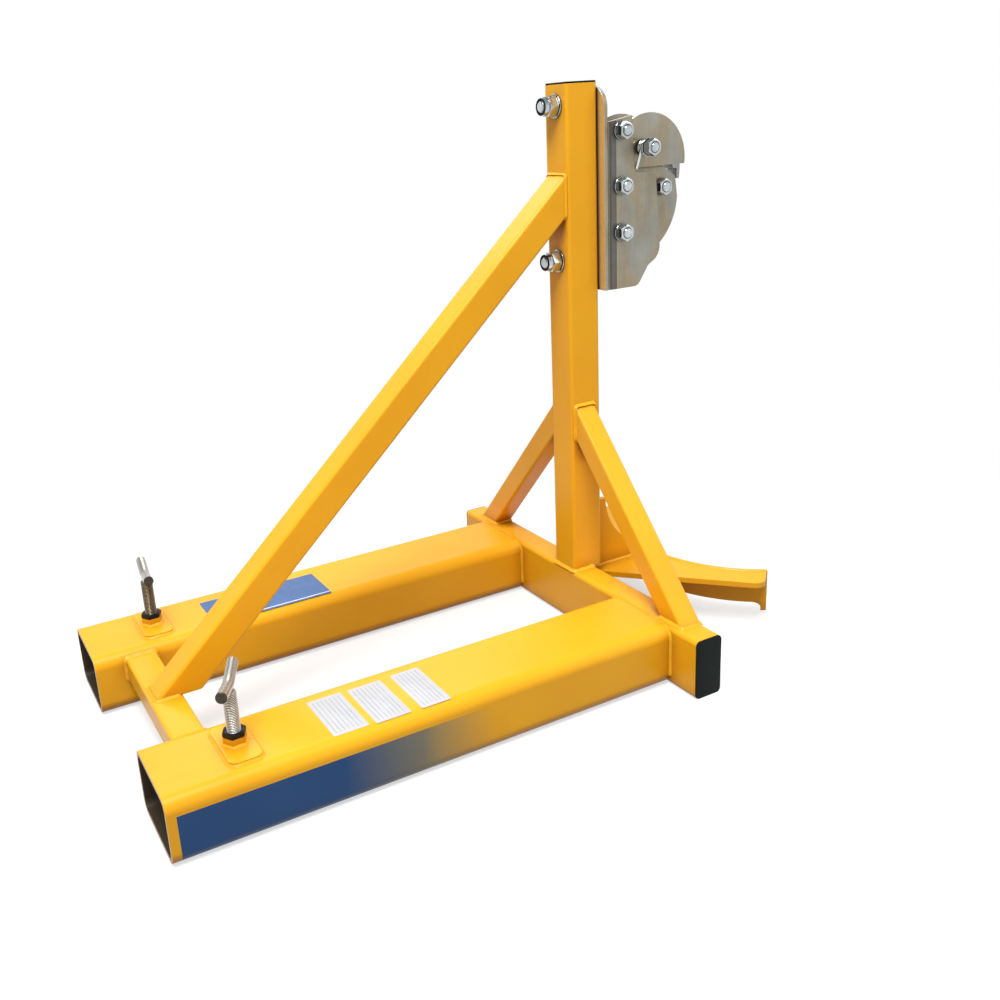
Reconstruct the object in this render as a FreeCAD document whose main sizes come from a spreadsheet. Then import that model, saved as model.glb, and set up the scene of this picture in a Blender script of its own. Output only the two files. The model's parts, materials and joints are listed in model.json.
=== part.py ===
"""Drum lifter for forklift tines, with a spring-closed beak that grips a drum by its rim.

Millimetres. +X points forward to the drum, +Y to the left and +Z up. The origin lies under the
mast's axis, on the plane that the two fork sleeves stand on.
"""
import FreeCAD, Part
import math
import os
import re

import Sketcher

SIZES = {
    # Fork sleeves
    "sleeve_length": 812, "sleeve_width": 150, "sleeve_height": 100, "sleeve_wall": 8,
    "sleeve_corner": 20, "sleeve_spacing": 426,
    # Front cross tube, whose rear face closes the sleeves
    "cross_width": 50, "cross_height": 100, "cross_length": 690, "cross_wall": 5,
    "cross_corner": 8, "cross_front": 17,
    # Rear cross tube between the sleeves
    "rear_width": 50, "rear_height": 40, "rear_wall": 3, "rear_corner": 5,
    "rear_inset": 49, "rear_drop": 10,
    # Mast and plastic end caps
    "mast_width": 60, "mast_length": 825, "mast_wall": 4, "mast_corner": 6,
    "cap_lip": 3, "cap_plug": 12, "cap_clearance": 0.3,
    # Diagonal brace behind the mast
    "diagonal_size": 50, "diagonal_wall": 3, "diagonal_corner": 5,
    "diagonal_top_drop": 137, "diagonal_foot_inset": 8,
    # Side braces
    "brace_size": 40, "brace_wall": 3, "brace_corner": 5, "brace_rise": 305, "brace_run": 273,
    # Gusset between mast and cradle
    "gusset_thickness": 10, "gusset_height": 113, "gusset_width": 29, "gusset_reach": 136,
    "gusset_end": 22, "gusset_radius": 106,
    # Cradle that the drum's body leans on
    "cradle_thickness": 10, "cradle_drop": 15, "cradle_root": 14, "cradle_radius": 233,
    "cradle_depth": 150, "cradle_tip_reach": 244, "cradle_tip_half": 201,
    "cradle_rear_reach": 205, "cradle_rear_half": 234, "cradle_corner": 18,
    "band_thickness": 8, "band_height": 61, "band_tip_half": 199.6, "band_post_height": 77,
    "band_post_rear": 194, "band_post_radius": 10,
    # Clamp pads, nuts and T-screws
    "pad_length": 48, "pad_width": 100, "pad_thickness": 5, "pad_corner": 12,
    "screw_inset_right": 119.5, "screw_inset_left": 114.5, "screw_radius": 9.8,
    "thread_clearance": 0.3, "screw_hole": 11,
    "screw_tip_height": 70, "screw_top_height": 182.7, "weld_nut_flats": 30,
    "weld_nut_height": 12, "jam_nut_height": 7, "nut_turn": -27,
    "bar_radius": 8, "bar_arm": 50, "bar_rise": 11.5, "bar_gap": 0.3,
    "bar_turn_right": 63, "bar_turn_left": 84,
    # Head plates, measured from the mast's front face and from the head's lower edge
    "head_drop": 327, "plate_thickness": 6, "head_width": 95, "back_plate_height": 322.5,
    "back_plate_corner": 35, "bend_radius": 9, "bend_inner": 3,
    "cheek_top": 266.5, "cheek_top_front": 273.6, "cheek_front": 54.6, "ledge_rear": 60.8,
    "ledge_rear_height": 185.1, "ledge_front": 104.3, "ledge_front_height": 181.6,
    "cheek_belly": 114.5, "cheek_belly_height": 47, "cheek_waist": 88.5, "cheek_waist_height": 32,
    "cheek_foot": 67, "cheek_nose_corner": 28, "cheek_waist_corner": 15, "cheek_foot_corner": 14,
    # Bolts through the mast
    "mast_bolt_radius": 10, "mast_bolt_hole": 11, "mast_bolt_flats": 30, "mast_bolt_head": 12.5,
    "mast_bolt_length": 95, "mast_nut_height": 16, "mast_collar_height": 9,
    "mast_collar_radius": 13.5, "mast_washer_radius": 18.5, "mast_washer_thickness": 3,
    "upper_bolt_height": 295, "lower_bolt_height": 52,
    # Bolts across the cheeks, with their spacer tubes
    "cheek_bolt_radius": 8, "cheek_bolt_hole": 8.5, "cheek_bolt_flats": 24, "cheek_bolt_head": 10,
    "cheek_bolt_length": 115, "cheek_nut_height": 14.5, "cheek_washer_radius": 14,
    "cheek_washer_thickness": 3, "cheek_bolt_reach": 32, "top_bolt_height": 251.8,
    "middle_bolt_height": 165.9, "bottom_bolt_height": 92, "spacer_radius": 11,
    "spacer_play": 0.1, "slot_clearance": 0.5,
    # Sliding carriage
    "carriage_stroke": 25, "carriage_half_gap": 28.5, "carriage_rear": 17, "carriage_bottom": 42,
    "carriage_step": 68, "carriage_belly_height": 63, "carriage_belly": 122,
    "carriage_nose": 161, "carriage_nose_height": 139, "carriage_radius": 104,
    "carriage_brow": 156, "carriage_brow_height": 172, "carriage_neck": 131,
    "carriage_neck_height": 189, "carriage_shoulder": 15.8,
    "carriage_corner": 8, "boss_radius": 18, "boss_flat": 0.4,
    # Beak
    "beak_gap": 0.5, "dome_reach": 95.5, "dome_height": 201, "dome_radius": 75,
    "beak_bottom": 191, "cam_travel": 9.2, "cam_fall": 0.7, "cam_clearance": 0.8,
    "pivot_reach": 79, "pivot_height": 222.8, "pivot_radius": 8, "pivot_hole": 8.3,
    "pivot_head": 10, "pivot_length": 118, "pivot_washer_radius": 15,
    "pivot_washer_thickness": 3, "pivot_nut_height": 14.5,
    "nose_rear": 142, "nose_top": 236, "nose_inset": 2, "tooth_width": 24,
    "tooth_rear": 152, "tooth_throat": 172, "tooth_roof": 182, "tooth_back": 179,
    "tooth_tip": 184, "tooth_tip_height": 165, "tooth_brow": 174, "tooth_brow_height": 230,
    "tooth_front_radius": 100,
    # Torsion spring
    "spring_wire": 4, "spring_radius": 10.6, "spring_coils": 4, "spring_groove": 1.2,
    "spring_gap": 0.3, "spring_foot_reach": 65.3, "spring_foot_height": 188,
    "spring_foot_side": 45,
    # Lower jaw and its bolt
    "jaw_bolt_reach": 125.5, "jaw_bolt_height": 156.5, "jaw_front": 160,
    "jaw_front_height": 150, "jaw_lip_height": 160, "jaw_seat": 150, "jaw_crown": 3,
    "jaw_rear": 104, "jaw_heel": 130, "jaw_heel_height": 96, "jaw_front_radius": 90,
    "toe_rear": 140, "toe_height": 146, "toe_tip": 172, "toe_slope": 8, "jaw_bolt_length": 86,
}

doc = FreeCAD.newDocument("DrumLifter")
sheet = doc.addObject("Spreadsheet::Sheet", "Sizes")
for row, (alias, number) in enumerate(SIZES.items(), start=1):
    sheet.set("A%d" % row, alias)
    sheet.set("B%d" % row, str(number))
    sheet.setAlias("B%d" % row, alias)
doc.recompute()

parts = []
DIRECTIONS = {
    "+X": FreeCAD.Rotation(FreeCAD.Vector(0, 1, 0), 90),
    "-X": FreeCAD.Rotation(FreeCAD.Vector(0, 1, 0), -90),
    "+Y": FreeCAD.Rotation(FreeCAD.Vector(1, 0, 0), -90),
    "-Y": FreeCAD.Rotation(FreeCAD.Vector(1, 0, 0), 90),
    "+Z": FreeCAD.Rotation(),
}


def bound(expression):
    """Writes each alias in an expression as a reference to the sheet."""
    return re.sub(r"[a-z][a-z_]*", lambda word: ("Sizes." if word.group() in SIZES else "")
                  + word.group(), str(expression))


def value(expression):
    """The number that an expression of aliases stands for now."""
    return float(sheet.evalExpression(bound(expression)))


def bind(thing, prop, expression):
    thing.setExpression(prop, bound(expression))


def place(thing, x=0, y=0, z=0, direction="+Z"):
    """Sets a placement whose position stays tied to the sheet."""
    position = FreeCAD.Vector(value(x), value(y), value(z))
    thing.Placement = FreeCAD.Placement(position, DIRECTIONS[direction])
    for axis, expression in (("x", x), ("y", y), ("z", z)):
        bind(thing, "Placement.Base." + axis, expression)


def keep(thing, label):
    """Marks a finished sub-part and names it."""
    thing.Label = label
    parts.append(thing)
    return thing


# Sketches and features of a body

def new_body(name):
    return doc.addObject("PartDesign::Body", name)


def new_sketch(body, plane, lift=None):
    sketch = body.newObject("Sketcher::SketchObject", body.Name + "_sketch")
    origin_plane = next(item for item in body.Origin.OriginFeatures if item.Role == plane)
    sketch.AttachmentSupport = (origin_plane, [""])
    sketch.MapMode = "FlatFace"
    if lift is not None:
        bind(sketch, "AttachmentOffset.Base.z", lift)
    return sketch


def hold(sketch, kind, geometry, expression, end=None):
    """Adds one dimension to a sketch and ties it to the sheet."""
    where = (geometry,) if end is None else (geometry, end)
    index = sketch.addConstraint(Sketcher.Constraint(kind, *where, value(expression)))
    name = "size_%d" % index
    sketch.renameConstraint(index, name)
    bind(sketch, "Constraints." + name, expression)


def hold_point(sketch, geometry, end, x, y):
    hold(sketch, "DistanceX", geometry, x, end)
    hold(sketch, "DistanceY", geometry, y, end)


def arc_between(start, end, radius, turn):
    """A circular arc; turn is 1 where its centre lies left of the way from start to end."""
    chord = end - start
    left = FreeCAD.Vector(-chord.y, chord.x, 0).normalize()
    height = math.sqrt(max(radius ** 2 - (chord.Length / 2) ** 2, 0))
    centre = (start + end) * 0.5 + left * (height * turn)
    first, last = (start, end) if turn > 0 else (end, start)
    angles = [math.atan2(point.y - centre.y, point.x - centre.x) for point in (first, last)]
    return Part.ArcOfCircle(Part.Circle(centre, FreeCAD.Vector(0, 0, 1), radius), *angles)


def outline(body, plane, points, lift=None):
    """A closed outline. A point (x, y, radius, turn) starts an arc, and (x, y) a straight line."""
    sketch = new_sketch(body, plane, lift)
    corners = [FreeCAD.Vector(value(point[0]), value(point[1]), 0) for point in points]
    ends = []
    for index, point in enumerate(points):
        start, end = corners[index], corners[(index + 1) % len(points)]
        if len(point) == 2:
            sketch.addGeometry(Part.LineSegment(start, end), False)
            ends.append((1, 2))
        else:
            sketch.addGeometry(arc_between(start, end, value(point[2]), point[3]), False)
            ends.append((1, 2) if point[3] > 0 else (2, 1))
    for index, point in enumerate(points):
        after = (index + 1) % len(points)
        sketch.addConstraint(Sketcher.Constraint("Coincident", index, ends[index][1],
                                                 after, ends[after][0]))
        hold_point(sketch, index, ends[index][0], point[0], point[1])
        if len(point) > 2:
            hold(sketch, "Radius", index, point[2])
    return sketch


def circle(body, plane, x, y, radius, lift=None):
    sketch = new_sketch(body, plane, lift)
    centre = FreeCAD.Vector(value(x), value(y), 0)
    sketch.addGeometry(Part.Circle(centre, FreeCAD.Vector(0, 0, 1), value(radius)), False)
    hold_point(sketch, 0, 3, x, y)
    hold(sketch, "Radius", 0, radius)
    return sketch


def slot(body, plane, first, second, radius):
    """A slot between two centres, with round ends."""
    sketch = new_sketch(body, plane)
    ends = [FreeCAD.Vector(value(x), value(y), 0) for x, y in (first, second)]
    size = value(radius)
    along = (ends[1] - ends[0]).normalize()
    side = FreeCAD.Vector(-along.y, along.x, 0) * size
    angle = math.atan2(along.y, along.x)
    up = FreeCAD.Vector(0, 0, 1)
    quarter = math.pi / 2
    sketch.addGeometry(Part.ArcOfCircle(Part.Circle(ends[0], up, size), angle + quarter,
                                        angle + 3 * quarter), False)
    sketch.addGeometry(Part.LineSegment(ends[0] - side, ends[1] - side), False)
    sketch.addGeometry(Part.ArcOfCircle(Part.Circle(ends[1], up, size), angle - quarter,
                                        angle + quarter), False)
    sketch.addGeometry(Part.LineSegment(ends[1] + side, ends[0] + side), False)
    for index in range(4):
        sketch.addConstraint(Sketcher.Constraint("Tangent", index, 2, (index + 1) % 4, 1))
    hold_point(sketch, 0, 3, *first)
    hold_point(sketch, 2, 3, *second)
    hold(sketch, "Radius", 0, radius)
    sketch.addConstraint(Sketcher.Constraint("Equal", 0, 2))
    return sketch


def pad(body, sketch, length, both_sides=False, downward=False):
    feature = body.newObject("PartDesign::Pad", body.Name + "_pad")
    feature.Profile = sketch
    bind(feature, "Length", length)
    if both_sides:
        feature.SideType = "Symmetric"
    feature.Reversed = downward
    doc.recompute()
    return feature


def pocket(body, sketch, depth=None, both_sides=False):
    """Cuts a sketch out of the body, right through both ways unless it has a depth."""
    before = body.Shape.Volume
    feature = body.newObject("PartDesign::Pocket", body.Name + "_pocket")
    feature.Profile = sketch
    if depth is None:
        feature.SideType = "Symmetric"
        feature.Type = "ThroughAll"
    else:
        bind(feature, "Length", depth)
        if both_sides:
            feature.SideType = "Symmetric"
    doc.recompute()
    if body.Shape.Volume > before - 0.01:
        raise ValueError("a pocket of %s cuts nothing" % body.Name)
    return feature


def straight_edges(feature, direction, near=None):
    """Names the straight edges along a direction, all of them or those at given places."""
    names = []
    for index, edge in enumerate(feature.Shape.Edges, start=1):
        if edge.Curve.TypeId != "Part::GeomLine":
            continue
        start, end = edge.Vertexes[0].Point, edge.Vertexes[-1].Point
        along = (end - start).normalize()
        if abs(abs(along.dot(direction)) - 1) > 1e-6:
            continue
        if near is not None:
            offsets = [(start - place) - direction * (start - place).dot(direction)
                       for place in near]
            if min(offset.Length for offset in offsets) > 0.01:
                continue
        names.append("Edge%d" % index)
    return names


def round_edges(body, feature, names, radius):
    fillet = body.newObject("PartDesign::Fillet", body.Name + "_fillet")
    fillet.Base = (feature, names)
    bind(fillet, "Radius", radius)
    doc.recompute()
    return fillet


def hollow(body, feature, wall, direction):
    """Leaves a wall of even thickness and opens both ends that face along a direction."""
    ends = [face for face in feature.Shape.Faces if face.Surface.TypeId == "Part::GeomPlane"
            and abs(abs(face.normalAt(0, 0).dot(direction)) - 1) < 1e-6]
    names = ["Face%d" % index for index, face in enumerate(feature.Shape.Faces, start=1)
             if any(face.isSame(end) for end in ends)]
    shell = body.newObject("PartDesign::Thickness", body.Name + "_wall")
    shell.Base = (feature, names)
    bind(shell, "Value", wall)
    shell.Reversed = True
    doc.recompute()
    return shell


X = FreeCAD.Vector(1, 0, 0)
Y = FreeCAD.Vector(0, 1, 0)
Z = FreeCAD.Vector(0, 0, 1)
AXIS = {"YZ_Plane": X, "XZ_Plane": Y, "XY_Plane": Z}


def rectangle(half_width, low, high):
    width = "-(%s)" % half_width
    return [(width, low), (half_width, low), (half_width, high), (width, high)]


def section(name, plane, profile, length, wall, corner, both_sides=False):
    """A hollow section with rounded corners, drawn in a plane and run along its normal."""
    body = new_body(name)
    feature = pad(body, outline(body, plane, profile), length, both_sides)
    direction = AXIS[plane]
    feature = round_edges(body, feature, straight_edges(feature, direction), corner)
    hollow(body, feature, wall, direction)
    return body


# Round and six-sided solids

def cylinder(name, radius, height, x, y, z, direction="+Z"):
    solid = doc.addObject("Part::Cylinder", name)
    bind(solid, "Radius", radius)
    bind(solid, "Height", height)
    place(solid, x, y, z, direction)
    return solid


def hexagon(name, flats, height, x, y, z, direction="+Z"):
    solid = doc.addObject("Part::Prism", name)
    solid.Polygon = 6
    bind(solid, "Circumradius", "(%s) / sqrt(3)" % flats)
    bind(solid, "Height", height)
    place(solid, x, y, z, direction)
    return solid


def cut(name, base, tool):
    result = doc.addObject("Part::Cut", name)
    result.Base = base
    result.Tool = tool
    return result


def join(name, *solids):
    result = doc.addObject("Part::MultiFuse", name)
    result.Shapes = list(solids)
    return result


def group(label, solids):
    """Several equal pieces kept as separate solids of one sub-part."""
    result = doc.addObject("Part::Compound", label)
    result.Links = solids
    return keep(result, label)


def washer(name, radius, bore, thickness, x, y, z, direction):
    return cut(name, cylinder(name + "_disc", radius, thickness, x, y, z, direction),
               cylinder(name + "_bore", bore, thickness, x, y, z, direction))


def nut(name, flats, bore, height, x, y, z, direction="+Z"):
    return cut(name, hexagon(name + "_body", flats, height, x, y, z, direction),
               cylinder(name + "_bore", bore, height, x, y, z, direction))


OPPOSITE = {"+X": "-X", "-X": "+X", "+Y": "-Y", "-Y": "+Y"}


def bolt(name, radius, flats, head, length, x, y, z, direction):
    """A hexagon bolt whose head seats at a place and whose shank runs along a direction."""
    return join(name, hexagon(name + "_head", flats, head, x, y, z, OPPOSITE[direction]),
                cylinder(name + "_shank", radius, length, x, y, z, direction))


# Frame

SLEEVE_REAR = "cross_front - cross_width - sleeve_length"
SIDES = (("right", "-1"), ("left", "1"))


def make_sleeve(side, sign):
    body = section("fork_sleeve_" + side, "YZ_Plane", rectangle("sleeve_width / 2", 0,
                   "sleeve_height"), "sleeve_length", "sleeve_wall", "sleeve_corner")
    hole = circle(body, "XY_Plane", "screw_inset_" + side, 0, "screw_hole", lift="sleeve_height")
    pocket(body, hole, "sleeve_wall * 2")
    place(body, SLEEVE_REAR, sign + " * sleeve_spacing / 2")
    keep(body, body.Name)


def make_front_cross_tube():
    body = section("front_cross_tube", "XZ_Plane", rectangle("cross_width / 2", 0, "cross_height"),
                   "cross_length", "cross_wall", "cross_corner", both_sides=True)
    place(body, "cross_front - cross_width / 2")
    keep(body, body.Name)


def make_rear_cross_tube():
    profile = rectangle("rear_width / 2", 0, "rear_height")
    body = section("rear_cross_tube", "XZ_Plane", profile, "sleeve_spacing - sleeve_width",
                   "rear_wall", "rear_corner", both_sides=True)
    place(body, SLEEVE_REAR + " + rear_inset + rear_width / 2", 0,
          "sleeve_height - rear_drop - rear_height")
    keep(body, body.Name)


def make_mast():
    profile = rectangle("mast_width / 2", "-mast_width / 2", "mast_width / 2")
    body = section("mast_tube", "XY_Plane", profile, "mast_length", "mast_wall", "mast_corner")
    for height in ("upper_bolt_height", "lower_bolt_height"):
        pocket(body, circle(body, "YZ_Plane", 0, "mast_length - head_drop + " + height,
                            "mast_bolt_hole"))
    place(body, 0, 0, "cross_height")
    keep(body, body.Name)


def make_diagonal_brace():
    """A square tube cut upright against the mast and level on the rear cross tube."""
    body = new_body("diagonal_brace")
    run = "(sleeve_length + cross_width - cross_front - rear_inset - mast_width / 2" \
          " - diagonal_foot_inset)"
    rise = "(mast_length - diagonal_top_drop + rear_drop)"
    slope = "sqrt(%s ^ 2 + %s ^ 2)" % (run, rise)
    upright = "* %s / %s" % (slope, run)
    level = "* %s / %s" % (slope, rise)
    sketch = outline(body, "XZ_Plane", [
        (0, rise), ("-" + run, 0), ("-%s + diagonal_size %s" % (run, level), 0),
        (0, "%s - diagonal_size %s" % (rise, upright))])
    feature = pad(body, sketch, "diagonal_size", both_sides=True)
    along = FreeCAD.Vector(value(run), 0, value(rise)).normalize()
    round_edges(body, feature, straight_edges(feature, along), "diagonal_corner")
    inner = outline(body, "XZ_Plane", [
        (0, "%s - diagonal_wall %s" % (rise, upright)),
        ("-%s + diagonal_wall %s" % (run, level), 0),
        ("-%s + (diagonal_size - diagonal_wall) %s" % (run, level), 0),
        (0, "%s - (diagonal_size - diagonal_wall) %s" % (rise, upright))])
    pocket(body, inner, "diagonal_size - 2 * diagonal_wall", both_sides=True)
    place(body, "-mast_width / 2", 0, "sleeve_height - rear_drop")
    keep(body, body.Name)


def make_side_brace(side, sign):
    """A square tube cut upright against the mast's side and level on the front cross tube."""
    body = new_body("side_brace_" + side)
    slope = "sqrt(brace_run ^ 2 + brace_rise ^ 2)"
    upright = "* %s / brace_run" % slope
    level = "* %s / brace_rise" % slope
    sketch = outline(body, "YZ_Plane", [
        (0, "brace_rise"), (sign + " * brace_run", 0),
        ("%s * (brace_run - brace_size %s)" % (sign, level), 0),
        (0, "brace_rise - brace_size " + upright)])
    feature = pad(body, sketch, "brace_size", both_sides=True)
    along = FreeCAD.Vector(0, value(sign + " * brace_run"), -value("brace_rise")).normalize()
    round_edges(body, feature, straight_edges(feature, along), "brace_corner")
    inner = outline(body, "YZ_Plane", [
        (0, "brace_rise - brace_wall " + upright),
        ("%s * (brace_run - brace_wall %s)" % (sign, level), 0),
        ("%s * (brace_run - (brace_size - brace_wall) %s)" % (sign, level), 0),
        (0, "brace_rise - (brace_size - brace_wall) " + upright)])
    pocket(body, inner, "brace_size - 2 * brace_wall", both_sides=True)
    place(body, "cross_front - brace_size / 2", sign + " * mast_width / 2", "cross_height")
    keep(body, body.Name)


def make_gusset():
    """A web plate under the mast's front, hollowed by an arc, that carries the cradle."""
    body = new_body("mast_gusset")
    overhang = "(mast_width / 2 - cross_front)"
    sketch = outline(body, "XZ_Plane", [
        (0, "-cradle_drop"), ("gusset_reach", "-cradle_drop"),
        ("gusset_reach", "gusset_end - cradle_drop", "gusset_radius", -1),
        ("%s + gusset_width" % overhang, "gusset_height"), (overhang, "gusset_height"),
        (overhang, 0), (0, 0)])
    pad(body, sketch, "gusset_thickness", both_sides=True)
    place(body, "cross_front", 0, "cross_height")
    keep(body, body.Name)


def make_cradle():
    """Two swept wings of plate, with a curved band along their front edge, deeper at its tips."""
    plate = new_body("cradle_plate")
    outer = "cradle_radius + band_thickness"
    centre = "(cradle_depth + cradle_radius)"
    sketch = outline(plate, "XY_Plane", [
        (0, "cradle_root"), (0, "-cradle_root"), ("cradle_rear_reach", "-cradle_rear_half"),
        ("cradle_tip_reach", "-cradle_tip_half"), ("cradle_tip_reach", "cradle_tip_half"),
        ("cradle_rear_reach", "cradle_rear_half")])
    feature = pad(plate, sketch, "cradle_thickness")
    rear = [FreeCAD.Vector(value("cradle_rear_reach"), value(sign + " * cradle_rear_half"), 0)
            for sign in ("-1", "1")]
    round_edges(plate, feature, straight_edges(feature, Z, rear), "cradle_corner")
    pocket(plate, circle(plate, "XY_Plane", centre, 0, outer))
    place(plate, "cross_front", 0, "cross_height - cradle_drop - cradle_thickness")
    keep(plate, plate.Name)

    band = new_body("cradle_band")
    outer_side = "sqrt((%s) ^ 2 - band_tip_half ^ 2)" % outer
    outer_x = "%s - %s" % (centre, outer_side)
    inner_x = "%s - %s * cradle_radius / (%s)" % (centre, outer_side, outer)
    inner_half = "band_tip_half * cradle_radius / (%s)" % outer
    sketch = outline(band, "XY_Plane", [
        (inner_x, "-" + inner_half, "cradle_radius", -1), (inner_x, inner_half),
        (outer_x, "band_tip_half", outer, 1), (outer_x, "-band_tip_half")])
    pad(band, sketch, "band_post_height")
    rise = "(band_post_height - band_height)"
    pocket(band, outline(band, "YZ_Plane", [
        ("-band_post_rear", 0), ("band_post_rear", 0),
        ("band_post_rear", rise + " - band_post_radius", "band_post_radius", 1),
        ("band_post_rear - band_post_radius", rise),
        ("band_post_radius - band_post_rear", rise, "band_post_radius", 1),
        ("-band_post_rear", rise + " - band_post_radius")]))
    place(band, "cross_front", 0, "cross_height - cradle_drop - band_post_height")
    keep(band, band.Name)


def make_caps():
    """Plastic caps with a lip on the tube's end and a plug inside it."""
    def cap(name, plane, half_width, low, high, wall, corner, sign):
        body = new_body(name)
        direction = AXIS[plane]
        away = (sign == "-1")
        lip = pad(body, outline(body, plane, rectangle(half_width, low, high)), "cap_lip",
                  downward=away != (plane == "XZ_Plane"))
        round_edges(body, lip, straight_edges(lip, direction), corner)
        inset = "(%s + cap_clearance)" % wall
        inner = rectangle("%s - %s" % (half_width, inset), "%s + %s" % (low, inset),
                          "%s - %s" % (high, inset))
        plug = pad(body, outline(body, plane, inner), "cap_plug",
                   downward=away == (plane == "XZ_Plane"))
        upright = Y if plane == "XY_Plane" else Z
        corners = [X * value(across) + upright * value(along) for across, along in inner]
        round_edges(body, plug, straight_edges(plug, direction, corners),
                    "%s - %s" % (corner, wall))
        return body

    mast_cap = cap("mast_cap", "XY_Plane", "mast_width / 2", "-mast_width / 2",
                   "mast_width / 2", "mast_wall", "mast_corner", "1")
    place(mast_cap, 0, 0, "cross_height + mast_length")
    keep(mast_cap, mast_cap.Name)
    for side, sign in SIDES:
        body = cap("cross_tube_cap_" + side, "XZ_Plane", "cross_width / 2", "0", "cross_height",
                   "cross_wall", "cross_corner", sign)
        place(body, "cross_front - cross_width / 2", sign + " * cross_length / 2", 0)
        keep(body, body.Name)


# Clamp screws

def screw_place(side, sign):
    return SLEEVE_REAR + " + screw_inset_" + side, sign + " * sleeve_spacing / 2"


def make_clamp(side, sign):
    x, y = screw_place(side, sign)
    body = new_body("clamp_pad_" + side)
    profile = rectangle("pad_length / 2", "-pad_width / 2", "pad_width / 2")
    feature = pad(body, outline(body, "XY_Plane", profile), "pad_thickness")
    round_edges(body, feature, straight_edges(feature, Z), "pad_corner")
    pocket(body, circle(body, "XY_Plane", 0, 0, "screw_hole"))
    place(body, x, y, "sleeve_height")
    keep(body, body.Name)

    bore = "screw_radius + thread_clearance"
    z = "sleeve_height + pad_thickness"
    for name in ("weld_nut_", "jam_nut_"):
        height = name + "height"
        piece = nut(name + side, "weld_nut_flats", bore, height, x, y, z)
        turned = FreeCAD.Rotation(Z, value("nut_turn"))
        piece.Base.Placement = FreeCAD.Placement(piece.Base.Placement.Base, turned)
        keep(piece, name + side)
        z += " + " + height
    keep(cylinder("clamp_screw_" + side, "screw_radius", "screw_top_height - screw_tip_height",
                  x, y, "screw_tip_height"), "clamp_screw_" + side)


def make_t_bar(side, sign):
    """A round bar bent to a shallow V, mitred at its knee, that lies across its screw's top."""
    x, y = screw_place(side, sign)
    z = "screw_top_height + bar_gap + bar_radius"
    turn = "bar_turn_" + side
    arms = []
    for index, way in enumerate((1, -1)):
        arm = doc.addObject("Part::Cylinder", "t_bar_%s_rod_%d" % (side, index))
        bind(arm, "Radius", "bar_radius")
        bind(arm, "Height", "bar_arm + bar_radius")
        back = "%d * bar_radius * cos(bar_rise)" % way
        place(arm, "%s - %s * cos(%s)" % (x, back, turn), "%s - %s * sin(%s)" % (y, back, turn),
              z + " - bar_radius * sin(bar_rise)")
        across = FreeCAD.Rotation(Z, value(turn))
        tilt = FreeCAD.Rotation(Y, way * (90 - value("bar_rise")))
        arm.Placement = FreeCAD.Placement(arm.Placement.Base, across.multiply(tilt))

        half = "bar_radius * 2"
        block = doc.addObject("Part::Box", "t_bar_%s_mitre_%d" % (side, index))
        for size in ("Length", "Width", "Height"):
            bind(block, size, half + " * 2")
        shift = "%d * %s" % (-way - 1, half)
        place(block, "%s + %s * cos(%s) + %s * sin(%s)" % (x, shift, turn, half, turn),
              "%s + %s * sin(%s) - %s * cos(%s)" % (y, shift, turn, half, turn),
              "%s - %s" % (z, half))
        block.Placement = FreeCAD.Placement(block.Placement.Base, FreeCAD.Rotation(Z, value(turn)))
        arms.append(cut("t_bar_%s_arm_%d" % (side, index), arm, block))
    keep(join("t_bar_" + side, *arms), "t_bar_" + side)


# Head

HEAD_Z = "cross_height + mast_length - head_drop"
CHEEK_OUTER = "(head_width / 2)"
CHEEK_INNER = "(head_width / 2 - plate_thickness)"
CHEEK_BOLTS = ("top_bolt_height", "middle_bolt_height", "bottom_bolt_height")
BEAK_INNER = "(carriage_half_gap + plate_thickness + beak_gap)"


def head_place(thing, y=0):
    place(thing, "mast_width / 2", y, HEAD_Z)


def make_back_plate():
    body = new_body("back_plate")
    feature = pad(body, outline(body, "YZ_Plane", rectangle(CHEEK_OUTER, 0, "back_plate_height")),
                  "plate_thickness")
    top = [FreeCAD.Vector(0, value(sign + " * head_width / 2"), value("back_plate_height"))
           for sign in ("-1", "1")]
    round_edges(body, feature, straight_edges(feature, X, top), "back_plate_corner")
    for height in ("upper_bolt_height", "lower_bolt_height"):
        pocket(body, circle(body, "YZ_Plane", 0, height, "mast_bolt_hole"))
    head_place(body)
    keep(body, body.Name)


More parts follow.
